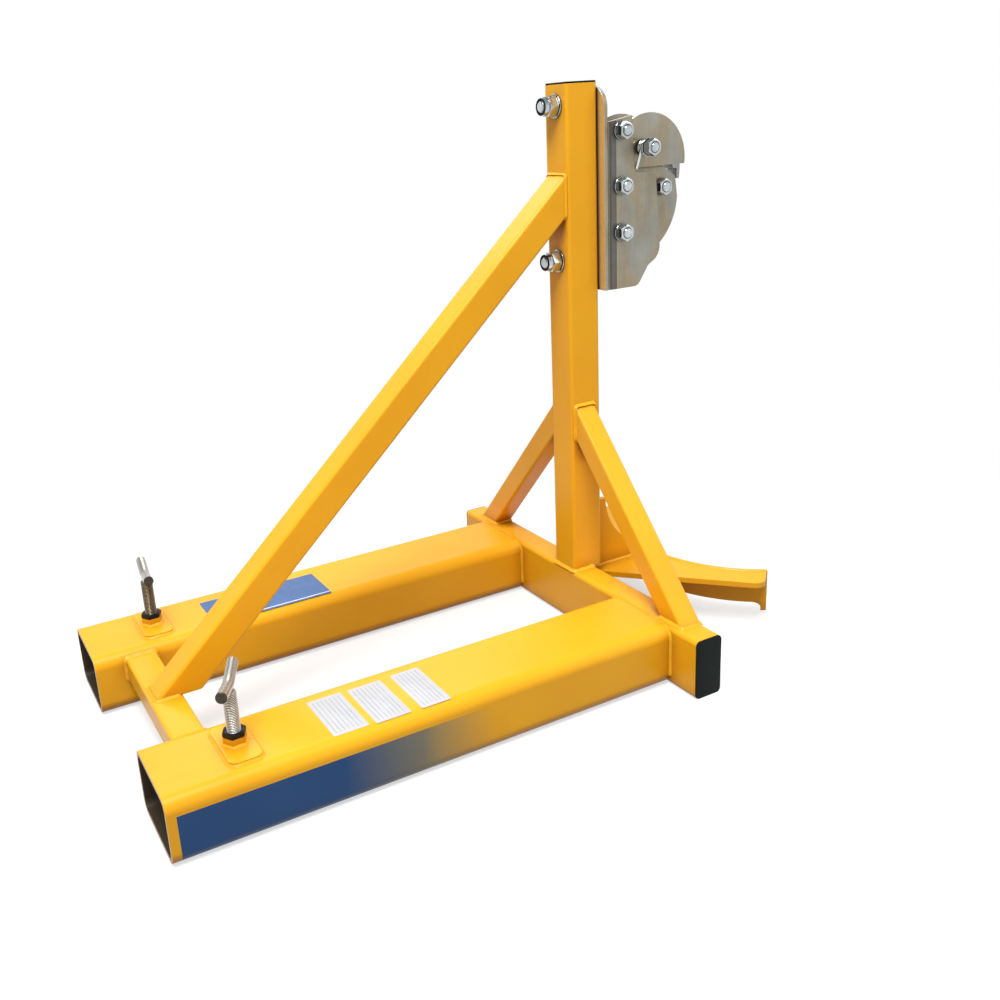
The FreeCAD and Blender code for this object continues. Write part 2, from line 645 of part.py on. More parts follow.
def make_head_channel():
    """A plate bent to a U, whose cheeks have a step for the spring's leg and a swept foot."""
    body = new_body("head_channel")
    rear = "plate_thickness"
    sketch = outline(body, "XZ_Plane", [
        (rear, 0), ("cheek_foot", 0), ("cheek_waist", "cheek_waist_height"),
        ("cheek_belly", "cheek_belly_height"), ("ledge_front", "ledge_front_height"),
        ("ledge_rear", "ledge_rear_height"), ("cheek_front", "cheek_top_front"),
        ("plate_thickness * 2", "cheek_top"), (rear, "cheek_top")])
    feature = pad(body, sketch, "head_width", both_sides=True)
    for x, z, radius in (("cheek_foot", "0", "cheek_foot_corner"),
                         ("cheek_waist", "cheek_waist_height", "cheek_waist_corner"),
                         ("cheek_belly", "cheek_belly_height", "cheek_nose_corner")):
        at = [FreeCAD.Vector(value(x), 0, value(z))]
        feature = round_edges(body, feature, straight_edges(feature, Y, at), radius)
    outer = [FreeCAD.Vector(value(rear), value(sign + " * head_width / 2"), 0)
             for sign in ("-1", "1")]
    feature = round_edges(body, feature, straight_edges(feature, Z, outer), "bend_radius")
    room = outline(body, "XY_Plane", [
        ("plate_thickness * 2", "-" + CHEEK_INNER), ("cheek_belly + plate_thickness",
                                                     "-" + CHEEK_INNER),
        ("cheek_belly + plate_thickness", CHEEK_INNER), ("plate_thickness * 2", CHEEK_INNER)])
    feature = pocket(body, room)
    inner = [FreeCAD.Vector(value("plate_thickness * 2"), value(sign + " * " + CHEEK_INNER), 0)
             for sign in ("-1", "1")]
    round_edges(body, feature, straight_edges(feature, Z, inner), "bend_inner")
    for height in CHEEK_BOLTS:
        pocket(body, circle(body, "XZ_Plane", "cheek_bolt_reach", height, "cheek_bolt_hole"))
    pocket(body, circle(body, "YZ_Plane", 0, "lower_bolt_height", "mast_bolt_hole"))
    head_place(body)
    keep(body, body.Name)


def make_mast_fasteners():
    """Two bolts through the mast, with heads in front and a washer and lock nut behind."""
    bolts, washers, nuts = [], [], []
    rear_x = "-mast_width / 2"
    nut_x = rear_x + " - mast_washer_thickness"
    bore = "mast_bolt_radius + thread_clearance"
    for name, height, layers in (("upper", "upper_bolt_height", "1"),
                                 ("lower", "lower_bolt_height", "2")):
        z = HEAD_Z + " + " + height
        seat = "mast_width / 2 + %s * plate_thickness" % layers
        length = "mast_bolt_length + (%s - 1) * plate_thickness" % layers
        bolts.append(bolt("mast_bolt_" + name, "mast_bolt_radius", "mast_bolt_flats",
                          "mast_bolt_head", length, seat, 0, z, "-X"))
        washers.append(washer("mast_washer_" + name, "mast_washer_radius", bore,
                              "mast_washer_thickness", rear_x, 0, z, "-X"))
        solid = join("mast_nut_%s_solid" % name,
                     hexagon("mast_nut_%s_hexagon" % name, "mast_bolt_flats",
                             "mast_nut_height", nut_x, 0, z, "-X"),
                     cylinder("mast_nut_%s_collar" % name, "mast_collar_radius",
                              "mast_collar_height", nut_x + " - mast_nut_height", 0, z, "-X"))
        nuts.append(cut("mast_nut_" + name, solid,
                        cylinder("mast_nut_%s_bore" % name, bore,
                                 "mast_nut_height + mast_collar_height", nut_x, 0, z, "-X")))
    group("mast_bolts", bolts)
    group("mast_washers", washers)
    group("mast_lock_nuts", nuts)


def make_cheek_fasteners():
    """Three bolts across the cheeks, each with a spacer tube that the carriage slides on."""
    bolts, washers, nuts, spacers = [], [], [], []
    x = "mast_width / 2 + cheek_bolt_reach"
    bore = "cheek_bolt_radius + thread_clearance"
    for index, height in enumerate(CHEEK_BOLTS):
        z = HEAD_Z + " + " + height
        bolts.append(bolt("cheek_bolt_%d" % index, "cheek_bolt_radius", "cheek_bolt_flats",
                          "cheek_bolt_head", "cheek_bolt_length", x, CHEEK_OUTER, z, "-Y"))
        washers.append(washer("cheek_washer_%d" % index, "cheek_washer_radius",
                              bore, "cheek_washer_thickness", x, "-" + CHEEK_OUTER, z,
                              "-Y"))
        nuts.append(nut("cheek_nut_%d" % index, "cheek_bolt_flats", bore,
                        "cheek_nut_height", x, "-%s - cheek_washer_thickness" % CHEEK_OUTER, z,
                        "-Y"))
        spacers.append(washer("spacer_tube_%d" % index, "spacer_radius", bore,
                              "2 * (%s - spacer_play)" % CHEEK_INNER,
                              x, "%s - spacer_play" % CHEEK_INNER, z, "-Y"))
    group("cheek_bolts", bolts)
    group("cheek_washers", washers)
    group("cheek_nuts", nuts)
    group("spacer_tubes", spacers)


def make_carriage_plate(side, sign):
    """A side plate of the sliding carriage, slotted for the two lower spacer tubes."""
    body = new_body("carriage_plate_" + side)
    shoulder = "pivot_height - carriage_shoulder"
    sketch = outline(body, "XZ_Plane", [
        ("carriage_rear", "carriage_bottom"), ("carriage_step", "carriage_bottom"),
        ("carriage_step + (carriage_belly_height - carriage_bottom)", "carriage_belly_height"),
        ("carriage_belly", "carriage_belly_height", "carriage_radius", 1),
        ("carriage_nose", "carriage_nose_height"), ("carriage_brow", "carriage_brow_height"),
        ("carriage_neck", "carriage_neck_height"),
        ("pivot_reach + boss_radius", "pivot_height"),
        ("pivot_reach + boss_radius", "pivot_height + boss_radius"),
        ("pivot_reach - boss_radius", "pivot_height + boss_radius"),
        ("pivot_reach - boss_radius", shoulder), ("carriage_rear", shoulder)])
    feature = pad(body, sketch, "plate_thickness", both_sides=True)
    top = [FreeCAD.Vector(value("pivot_reach + %d * boss_radius" % way), 0,
                          value("pivot_height + boss_radius")) for way in (-1, 1)]
    feature = round_edges(body, feature, straight_edges(feature, Y, top),
                          "boss_radius - boss_flat")
    soft = [FreeCAD.Vector(value(x), 0, value(z)) for x, z in (
        ("carriage_rear", "carriage_bottom"), ("carriage_nose", "carriage_nose_height"),
        ("carriage_brow", "carriage_brow_height"), ("carriage_neck", "carriage_neck_height"),
        ("carriage_rear", shoulder))]
    round_edges(body, feature, straight_edges(feature, Y, soft), "carriage_corner")
    for height in ("middle_bolt_height", "bottom_bolt_height"):
        pocket(body, slot(body, "XZ_Plane", ("cheek_bolt_reach", height),
                          ("cheek_bolt_reach", height + " - carriage_stroke"),
                          "spacer_radius + slot_clearance"))
    pocket(body, circle(body, "XZ_Plane", "pivot_reach", "pivot_height", "pivot_hole"))
    pocket(body, circle(body, "XZ_Plane", "jaw_bolt_reach", "jaw_bolt_height",
                        "cheek_bolt_hole"))
    head_place(body, sign + " * (carriage_half_gap + plate_thickness / 2)")
    keep(body, body.Name)


def make_lower_jaw():
    """The block between the carriage plates, with a narrow toe that sits under the drum's rim."""
    body = new_body("lower_jaw")
    seat_height = "jaw_bolt_height + cheek_bolt_hole + jaw_crown"
    sketch = outline(body, "XZ_Plane", [
        ("jaw_heel", "jaw_heel_height", "jaw_front_radius", 1), ("jaw_front", "jaw_front_height"),
        ("jaw_front", "jaw_lip_height"), ("jaw_seat", seat_height),
        ("jaw_rear", seat_height), ("jaw_rear", "jaw_heel_height")])
    pad(body, sketch, "2 * carriage_half_gap", both_sides=True)
    toe = outline(body, "XZ_Plane", [
        ("toe_rear", "toe_height"), ("toe_tip - toe_slope", "toe_height"),
        ("toe_tip", "toe_height + toe_slope"), ("toe_tip", "jaw_lip_height"),
        ("jaw_seat", seat_height), ("toe_rear", seat_height)])
    pad(body, toe, "tooth_width", both_sides=True)
    pocket(body, circle(body, "XZ_Plane", "jaw_bolt_reach", "jaw_bolt_height",
                        "cheek_bolt_hole"))
    head_place(body)
    keep(body, body.Name)
    x = "mast_width / 2 + jaw_bolt_reach"
    z = HEAD_Z + " + jaw_bolt_height"
    outer = "(carriage_half_gap + plate_thickness)"
    keep(bolt("lower_jaw_bolt", "cheek_bolt_radius", "cheek_bolt_flats", "cheek_bolt_head",
              "jaw_bolt_length", x, outer, z, "-Y"), "lower_jaw_bolt")
    keep(nut("lower_jaw_nut", "cheek_bolt_flats", "cheek_bolt_radius + thread_clearance",
             "cheek_nut_height", x, "-" + outer, z, "-Y"), "lower_jaw_nut")


def make_beak_plate(side, sign):
    """A dome-shaped side plate of the beak, notched for the top spacer tube that cams it open."""
    body = new_body("beak_plate_" + side)
    half = "sqrt(dome_radius ^ 2 - (dome_height - beak_bottom) ^ 2)"
    top = "dome_height + dome_radius"
    sketch = outline(body, "XZ_Plane", [
        ("dome_reach + " + half, "beak_bottom", "dome_radius", 1),
        ("dome_reach", top, "dome_radius", 1), ("dome_reach - " + half, "beak_bottom")])
    pad(body, sketch, "plate_thickness", both_sides=True)
    run = "spacer_radius * 2"
    pocket(body, slot(body, "XZ_Plane",
                      ("cheek_bolt_reach - " + run,
                       "top_bolt_height + cam_fall * %s / cam_travel" % run),
                      ("cheek_bolt_reach + cam_travel", "top_bolt_height - cam_fall"),
                      "spacer_radius + cam_clearance"))
    pocket(body, circle(body, "XZ_Plane", "pivot_reach", "pivot_height", "pivot_hole"))
    head_place(body, "%s * (%s + plate_thickness / 2)" % (sign, BEAK_INNER))
    keep(body, body.Name)


def make_beak_nose():
    """The block between the beak plates, with a narrow hooked tooth that goes over the rim."""
    body = new_body("beak_nose")
    radius = "dome_radius - nose_inset"
    front = ["dome_reach + sqrt((%s) ^ 2 - (%s - dome_height) ^ 2)" % (radius, height)
             for height in ("beak_bottom", "nose_top")]
    block = outline(body, "XZ_Plane", [
        ("nose_rear", "beak_bottom"), (front[0], "beak_bottom", radius, 1),
        (front[1], "nose_top"), ("nose_rear", "nose_top")])
    pad(body, block, "2 * " + BEAK_INNER, both_sides=True)
    tooth = outline(body, "XZ_Plane", [
        ("tooth_rear", "beak_bottom"), (front[0], "beak_bottom"), ("tooth_throat", "tooth_roof"),
        ("tooth_back", "tooth_roof"), ("tooth_back", "tooth_tip_height"),
        ("tooth_tip", "tooth_tip_height", "tooth_front_radius", 1),
        ("tooth_brow", "tooth_brow_height"), ("tooth_rear", "tooth_brow_height")])
    pad(body, tooth, "tooth_width", both_sides=True)
    head_place(body)
    keep(body, body.Name)


def make_pivot():
    """The beak's pivot bolt with its spring, washer and lock nut on the right."""
    x = "mast_width / 2 + pivot_reach"
    z = HEAD_Z + " + pivot_height"
    outer = "(%s + plate_thickness)" % BEAK_INNER
    coil_length = "spring_wire * spring_coils"
    bore = "pivot_radius + thread_clearance"
    washer_y = "-%s - 2 * spring_gap - %s" % (outer, coil_length)
    keep(bolt("pivot_bolt", "pivot_radius", "cheek_bolt_flats", "pivot_head", "pivot_length",
              x, outer + " + spring_gap", z, "-Y"), "pivot_bolt")
    keep(washer("pivot_washer", "pivot_washer_radius", bore, "pivot_washer_thickness",
                x, washer_y, z, "-Y"), "pivot_washer")
    keep(nut("pivot_nut", "cheek_bolt_flats", bore, "pivot_nut_height",
             x, washer_y + " - pivot_washer_thickness", z, "-Y"), "pivot_nut")

    make_torsion_spring(x, "-%s - spring_gap" % outer, z)


def make_torsion_spring(x, y, z):
    """Touching coils of wire around the pivot, with a straight leg down to the cheek's step."""
    body = new_body("torsion_spring_coils")
    half = "spring_wire / 2"
    crest = "spring_radius + " + half
    groove = crest + " - spring_groove"
    bore = "spring_radius - " + half
    wave = []
    for index in range(SIZES["spring_coils"]):
        wave.append(("-%d * spring_wire" % index, groove))
        wave.append(("-(%d + 0.5) * spring_wire" % index, crest))
    far = "-spring_coils * spring_wire"
    sketch = outline(body, "YZ_Plane", wave + [(far, groove), (far, bore), (0, bore)])
    coils = body.newObject("PartDesign::Revolution", "torsion_spring_turns")
    coils.Profile = sketch
    coils.ReferenceAxis = (sketch, ["H_Axis"])
    coils.Angle = 360
    doc.recompute()
    place(body, x, y, z)

    last_coil = "%s - spring_wire * (spring_coils - 0.5)" % y
    start = FreeCAD.Vector(value(x + " - spring_radius"), value(last_coil), value(z))
    foot = FreeCAD.Vector(value("mast_width / 2 + spring_foot_reach"),
                          -value("spring_foot_side"), value(HEAD_Z + " + spring_foot_height"))
    leg = doc.addObject("Part::Cylinder", "torsion_spring_leg")
    bind(leg, "Radius", half)
    leg.Height = (foot - start).Length
    place(leg, x + " - spring_radius", last_coil, z)
    leg.Placement = FreeCAD.Placement(start, FreeCAD.Rotation(Z, foot - start))
    keep(join("torsion_spring", body, leg), "torsion_spring")


for side, sign in SIDES:
    make_sleeve(side, sign)
make_front_cross_tube()
make_rear_cross_tube()
make_mast()
make_diagonal_brace()
for side, sign in SIDES:
    make_side_brace(side, sign)
make_gusset()
make_cradle()
make_caps()
for side, sign in SIDES:
    make_clamp(side, sign)
    make_t_bar(side, sign)
make_back_plate()
make_head_channel()
make_mast_fasteners()
make_cheek_fasteners()
for side, sign in SIDES:
    make_carriage_plate(side, sign)
make_lower_jaw()
for side, sign in SIDES:
    make_beak_plate(side, sign)
make_beak_nose()
make_pivot()

doc.recompute()
for thing in doc.Objects:
    if "Invalid" in thing.State or "Error" in thing.State:
        raise ValueError("%s failed: %s" % (thing.Name, thing.State))
os.makedirs("parts", exist_ok=True)
for part in parts:
    if part.Shape.isNull() or not part.Shape.isValid():
        raise ValueError("%s has no valid shape" % part.Label)
for part in parts:
    part.Shape.exportStep(os.path.join("parts", part.Label + ".step"))
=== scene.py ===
"""The looks of the drum lifter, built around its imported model.

Metres. +X points forward to the drum, +Y to the left and +Z up. The camera has the photograph's
view. MM turns a millimetre size into metres.
"""

import json
import math

import bpy
from mathutils import Matrix, Vector, noise


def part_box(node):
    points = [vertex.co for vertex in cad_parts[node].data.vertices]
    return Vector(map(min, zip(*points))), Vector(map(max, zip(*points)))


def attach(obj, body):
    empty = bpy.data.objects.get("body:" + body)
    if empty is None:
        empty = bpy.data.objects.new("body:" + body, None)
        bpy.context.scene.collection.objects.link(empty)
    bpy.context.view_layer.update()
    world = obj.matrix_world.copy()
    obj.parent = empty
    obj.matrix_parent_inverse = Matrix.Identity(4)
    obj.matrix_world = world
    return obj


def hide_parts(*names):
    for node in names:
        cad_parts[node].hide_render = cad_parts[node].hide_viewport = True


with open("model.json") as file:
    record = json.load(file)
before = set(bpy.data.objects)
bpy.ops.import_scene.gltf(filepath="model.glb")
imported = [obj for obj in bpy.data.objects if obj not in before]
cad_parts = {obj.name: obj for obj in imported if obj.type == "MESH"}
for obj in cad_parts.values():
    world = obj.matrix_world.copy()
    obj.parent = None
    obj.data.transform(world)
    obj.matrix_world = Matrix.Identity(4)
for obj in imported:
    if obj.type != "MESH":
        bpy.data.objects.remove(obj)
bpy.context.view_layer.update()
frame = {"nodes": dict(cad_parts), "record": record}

MM = 0.001
X_AXIS = Vector((1, 0, 0))
Y_AXIS = Vector((0, 1, 0))
Z_AXIS = Vector((0, 0, 1))


# Materials

def new_material(name):
    material = bpy.data.materials.new(name)
    material.use_nodes = True
    tree = material.node_tree
    shader = next(node for node in tree.nodes if node.type == "BSDF_PRINCIPLED")
    return material, tree, shader


def add_node(tree, kind, settings=None, **inputs):
    """Adds a node. A socket is linked where its value is a socket, and else is set."""
    node = tree.nodes.new(kind)
    for name, setting in (settings or {}).items():
        setattr(node, name, setting)
    for name, item in inputs.items():
        key = int(name[1:]) if name[0] == "i" and name[1:].isdigit() else name.replace("_", " ")
        socket = node.inputs[key]
        if isinstance(item, bpy.types.NodeSocket):
            tree.links.new(item, socket)
        else:
            socket.default_value = item
    return node


def coordinates(tree, scale=(1, 1, 1)):
    place = add_node(tree, "ShaderNodeTexCoord").outputs["Object"]
    return add_node(tree, "ShaderNodeMapping", Vector=place, Scale=scale).outputs["Vector"]


def noise_at(tree, place, scale, detail=3.0, roughness=0.55):
    return add_node(tree, "ShaderNodeTexNoise", Vector=place, Scale=scale, Detail=detail,
                    Roughness=roughness).outputs["Fac"]


def remap(tree, number, low, high, new_low=0.0, new_high=1.0):
    return add_node(tree, "ShaderNodeMapRange", i0=number, i1=low, i2=high, i3=new_low,
                    i4=new_high).outputs["Result"]


def mix_colours(tree, factor, first, second, blend="MIX"):
    node = add_node(tree, "ShaderNodeMix", {"data_type": "RGBA", "blend_type": blend}, i0=factor,
                    i6=first, i7=second)
    return node.outputs[2]


def math_node(tree, operation, first, second=0.0, third=0.0):
    return add_node(tree, "ShaderNodeMath", {"operation": operation}, i0=first, i1=second,
                    i2=third).outputs[0]


def axes_of(tree, vector):
    """A vector's X, Y and Z, by name."""
    return add_node(tree, "ShaderNodeSeparateXYZ", Vector=vector).outputs


def soft_edges(tree, radius, height, strength, distance):
    """A normal that rounds sharp edges, with a bump on top."""
    normal = add_node(tree, "ShaderNodeBevel", {"samples": 6}, Radius=radius).outputs["Normal"]
    return add_node(tree, "ShaderNodeBump", Height=height, Strength=strength, Distance=distance,
                    Normal=normal).outputs["Normal"]


def painted_crevice_shade(tree, distance):
    """A mask for painted shade: 1 in the open, and less where surfaces meet."""
    shade = add_node(tree, "ShaderNodeAmbientOcclusion", {"samples": 8}, Distance=distance)
    return remap(tree, shade.outputs["AO"], 0.35, 0.95)


def dress(tree, shader, colour, rough, normal=None, **numbers):
    """Links a shader's colour, roughness and normal, and sets its plain numbers."""
    tree.links.new(colour, shader.inputs["Base Color"])
    tree.links.new(rough, shader.inputs["Roughness"])
    if normal:
        tree.links.new(normal, shader.inputs["Normal"])
    for name, number in numbers.items():
        shader.inputs[name.replace("_", " ")].default_value = number


YELLOW = (0.90, 0.435, 0.012, 1)
YELLOW_WARM = (0.85, 0.385, 0.010, 1)
# orange brown painted shade for the paint's corners
YELLOW_PAINTED_SHADE = (0.50, 0.195, 0.006, 1)
# dark painted shade inside the sleeves
SLEEVE_INSIDE_SHADE = (0.055, 0.040, 0.026, 1)


def yellow_colour(tree, place, corners=True):
    """Powder coat: a slightly uneven yellow, with orange brown painted shade in the corners."""
    clouds = remap(tree, noise_at(tree, place, 5.0, 4.0), 0.35, 0.7)
    colour = mix_colours(tree, clouds, YELLOW, YELLOW_WARM)
    if not corners:
        return colour
    # painted shade: the yellow turns orange brown where surfaces meet
    return mix_colours(tree, painted_crevice_shade(tree, 30 * MM), YELLOW_PAINTED_SHADE, colour)


def inside_tube(tree, place, centre_y, centre_z, half_y, half_z, corner, depth):
    """1 deeper than a depth inside a tube with rounded corners that runs along X, else 0.

    The tube has a twin on the other side of the middle plane.
    """
    split = axes_of(tree, place)
    aside = math_node(tree, "ABSOLUTE", split["Y"])
    aside = math_node(tree, "ABSOLUTE", math_node(tree, "SUBTRACT", aside, centre_y))
    rise = math_node(tree, "ABSOLUTE", math_node(tree, "SUBTRACT", split["Z"], centre_z))
    aside = math_node(tree, "MAXIMUM", math_node(tree, "SUBTRACT", aside, half_y - corner))
    rise = math_node(tree, "MAXIMUM", math_node(tree, "SUBTRACT", rise, half_z - corner))
    reach = math_node(tree, "SQRT", math_node(tree, "ADD", math_node(tree, "POWER", aside, 2.0),
                                              math_node(tree, "POWER", rise, 2.0)))
    return math_node(tree, "LESS_THAN", reach, corner - depth)


def make_yellow_paint(name="yellow_powder_coat", tube=None, corners=True):
    """Powder coat, with painted shade in its corners unless corners is False. Inside a tube given
    by its place it turns to a dark painted shade.
    """
    material, tree, shader = new_material(name)
    place = coordinates(tree)
    colour = yellow_colour(tree, place, corners)
    if tube:
        # inside the sleeve the colour turns to a dark painted shade
        colour = mix_colours(tree, inside_tube(tree, place, *tube), colour, SLEEVE_INSIDE_SHADE)
    peel = noise_at(tree, place, 420.0, 2.0)
    waves = noise_at(tree, place, 60.0, 2.0)
    height = math_node(tree, "ADD", peel, waves)
    dress(tree, shader, colour,
          remap(tree, noise_at(tree, place, 18.0, 5.0), 0.3, 0.7, 0.30, 0.42),
          soft_edges(tree, 1.2 * MM, height, 0.10, 0.4 * MM),
          Specular_IOR_Level=0.22, Coat_Weight=0.06, Coat_Roughness=0.15)
    return material


def make_black_plastic():
    material, tree, shader = new_material("black_cap_plastic")
    place = coordinates(tree)
    clouds = noise_at(tree, place, 30.0, 4.0)
    colour = mix_colours(tree, clouds, (0.004, 0.006, 0.006, 1), (0.016, 0.021, 0.020, 1))
    grain = noise_at(tree, place, 1500.0, 2.0)
    dress(tree, shader, colour, remap(tree, clouds, 0.3, 0.7, 0.42, 0.58),
          soft_edges(tree, 1 * MM, grain, 0.15, 0.2 * MM), Specular_IOR_Level=0.08)
    return material


def make_metal(name, light, dark, rough, grain=(1, 1, 1), streaks=80.0, edge=0.8 * MM,
               crevice_shade=(0.05, 0.05, 0.05, 1), depth=6 * MM):
    """Plated or bare metal with fine streaks along one direction and cloudy tone.

    The crevice colour is painted shade where surfaces meet within the depth, or without one in
    every hollow.
    """
    material, tree, shader = new_material(name)
    clouds = remap(tree, noise_at(tree, coordinates(tree), 22.0, 6.0, 0.6), 0.3, 0.72)
    lines = noise_at(tree, coordinates(tree, grain), streaks, 5.0, 0.65)
    tone = mix_colours(tree, clouds, light, dark)
    tone = mix_colours(tree, remap(tree, lines, 0.3, 0.7, 0.0, 0.5), tone, dark)
    if depth:
        hollow_shade = painted_crevice_shade(tree, depth)
    else:
        curve = add_node(tree, "ShaderNodeNewGeometry").outputs["Pointiness"]
        hollow_shade = remap(tree, curve, 0.47, 0.53)
    # painted shade in the hollows, in the crevice colour
    tone = mix_colours(tree, hollow_shade, crevice_shade, tone)
    dress(tree, shader, tone, remap(tree, lines, 0.3, 0.7, rough * 0.8, rough * 1.3),
          soft_edges(tree, edge, lines, 0.12, 0.2 * MM), Metallic=1.0)
    return material


# levels of the painted reflection across the bend: dark, with lighter strips
BEND_REFLECTION_LEVELS = ((0.02, 0.60), (0.10, 0.26), (0.35, 0.30), (0.48, 0.46), (0.88, 0.42), (0.94, 0.30))


def make_zinc_sheet(bend_start, bend_end):
    """Passivated zinc on plate, yellowish to bluish in clouds, with a painted reflection of dark
    surroundings across its bend.

    Faces that point up, such as the top edges, get a pale bluish painted highlight, and the
    plate's rear a painted reflection of the yellow paint beside it.
    """
    material, tree, shader = new_material("zinc_plated_sheet")
    place = coordinates(tree)
    clouds = remap(tree, noise_at(tree, place, 14.0, 6.0, 0.6), 0.32, 0.68)
    patches = remap(tree, noise_at(tree, coordinates(tree, (1, 1, 0.4)), 30.0, 4.0), 0.42, 0.62)
    lines = noise_at(tree, coordinates(tree, (1, 1, 0.05)), 110.0, 5.0, 0.65)
    warm = mix_colours(tree, clouds, (0.40, 0.335, 0.225, 1), (0.28, 0.235, 0.165, 1))
    cool = mix_colours(tree, clouds, (0.38, 0.38, 0.33, 1), (0.27, 0.265, 0.235, 1))
    tone = mix_colours(tree, patches, warm, cool)
    streaks = remap(tree, lines, 0.35, 0.7, 0.0, 0.3)
    tone = mix_colours(tree, streaks, tone, (0.20, 0.18, 0.13, 1))
    # painted reflection of dark surroundings in the bend, faintly bluish
    along = remap(tree, axes_of(tree, place)["X"], bend_start, bend_end)
    bend = add_node(tree, "ShaderNodeValToRGB", Fac=along)
    stops = bend.color_ramp.elements
    stops[0].position, stops[0].color = 0.0, (1, 1, 1, 1)
    stops[1].position, stops[1].color = 1.0, (1, 1, 1, 1)
    for position, level in BEND_REFLECTION_LEVELS:
        stop = stops.new(position)
        stop.color = (level * 0.96, level * 0.98, level * 1.10, 1)
    tone = mix_colours(tree, 1.0, tone, bend.outputs["Color"], "MULTIPLY")
    facing = axes_of(tree, add_node(tree, "ShaderNodeTexCoord").outputs["Normal"])
    # pale bluish painted highlight where the surface points up
    upward_highlight = remap(tree, facing["Z"], 0.5, 0.8)
    tone = mix_colours(tree, upward_highlight, tone, (0.80, 0.86, 0.90, 1))
    # painted reflection of the yellow paint where the surface points back
    rear_paint_reflection = remap(tree, facing["X"], -0.5, -0.8)
    tone = mix_colours(tree, rear_paint_reflection, tone, (0.76, 0.71, 0.46, 1))
    # dark painted shade where surfaces meet
    tone = mix_colours(tree, painted_crevice_shade(tree, 6 * MM), (0.07, 0.055, 0.035, 1), tone)
    dress(tree, shader, tone, remap(tree, clouds, 0.0, 1.0, 0.26, 0.42),
          soft_edges(tree, 1.2 * MM, lines, 0.12, 0.2 * MM), Metallic=0.8)
    return material


def make_vinyl(name, colour, second, halfway, start, end):
    """A vinyl band whose colour fades to the paint's along X, from start to end."""
    material, tree, shader = new_material(name)
    place = coordinates(tree)
    fade = remap(tree, axes_of(tree, place)["X"], start, end)
    body = mix_colours(tree, noise_at(tree, place, 9.0, 4.0), colour, second)
    body = mix_colours(tree, remap(tree, fade, 0.0, 0.6), body, halfway)
    body = mix_colours(tree, remap(tree, fade, 0.5, 1.0), body, yellow_colour(tree, place))
    dress(tree, shader, body, remap(tree, noise_at(tree, place, 25.0), 0.3, 0.7, 0.28, 0.4),
          Specular_IOR_Level=0.25)
    return material


def make_blank_form(name, low, high):
    """A white label with nothing on it but the faint rules of an empty form."""
    material, tree, shader = new_material(name)
    place = coordinates(tree)
    split = axes_of(tree, place)
    pitch, margin, rule_share = 6.5 * MM, 6 * MM, 0.2
    across = math_node(tree, "SUBTRACT", split["X"], low.x + margin)
    step = math_node(tree, "FRACT", math_node(tree, "DIVIDE", across, pitch))
    rule = math_node(tree, "LESS_THAN", step, rule_share)
    middle, half = (low + high) / 2, (high - low) / 2
    for axis, centre, reach in (("X", middle.x, half.x), ("Y", middle.y, half.y)):
        offset = math_node(tree, "ABSOLUTE", math_node(tree, "SUBTRACT", split[axis], centre))
        within = math_node(tree, "LESS_THAN", offset, reach - margin)
        rule = math_node(tree, "MULTIPLY", rule, within)
    worn = mix_colours(tree, noise_at(tree, place, 35.0, 5.0), (0.60, 0.61, 0.64, 1),
                       (0.48, 0.49, 0.52, 1))
    faded = math_node(tree, "MULTIPLY", rule, noise_at(tree, place, 50.0, 2.0))
    dress(tree, shader, mix_colours(tree, faded, worn, (0.20, 0.21, 0.23, 1)),
          remap(tree, noise_at(tree, place, 60.0), 0.3, 0.7, 0.35, 0.5))
    return material


def make_label(name, colour, line, middle, width):
    """A plain label with one thin line along X, at a middle Y."""
    material, tree, shader = new_material(name)
    place = coordinates(tree)
    near = math_node(tree, "COMPARE", axes_of(tree, place)["Y"], middle, width / 2)
    faded = [number * 0.82 for number in colour[:3]] + [1]
    worn = mix_colours(tree, noise_at(tree, place, 35.0, 5.0), colour, faded)
    dress(tree, shader, mix_colours(tree, near, worn, line),
          remap(tree, noise_at(tree, place, 60.0), 0.3, 0.7, 0.3, 0.45), Specular_IOR_Level=0.25)
    return material


CHANNEL_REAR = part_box("head_channel")[0].x
BEND_REACH = 17.5 * MM
MATERIALS = {
    "yellow_paint": make_yellow_paint(),
    "black_plastic": make_black_plastic(),
    "black_oxide": make_metal("black_oxide_steel", (0.045, 0.045, 0.05, 1),
                              (0.012, 0.012, 0.014, 1), 0.42, streaks=200.0),
    "zinc_plate": make_zinc_sheet(CHANNEL_REAR, CHANNEL_REAR + BEND_REACH),
    "bare_steel": make_metal("machined_steel", (0.46, 0.46, 0.45, 1), (0.26, 0.25, 0.24, 1),
                             0.36, (1, 1, 0.15), 150.0),
    "zinc_fasteners": make_metal("bright_zinc", (0.80, 0.86, 0.88, 1), (0.34, 0.38, 0.40, 1),
                                 0.16, streaks=160.0, edge=0.4 * MM,
                                 crevice_shade=(0.02, 0.022, 0.025, 1)),
    "clamp_steel": make_metal("turned_steel", (0.68, 0.66, 0.62, 1), (0.40, 0.38, 0.34, 1),
                              0.28, (1, 1, 0.3), 220.0, 0.4 * MM),
    "spring_steel": make_metal("spring_wire", (0.86, 0.87, 0.87, 1), (0.60, 0.61, 0.61, 1), 0.2,
                               streaks=120.0, edge=0.3 * MM),
}

PAINTED_WELD = make_yellow_paint("painted_weld", corners=False)
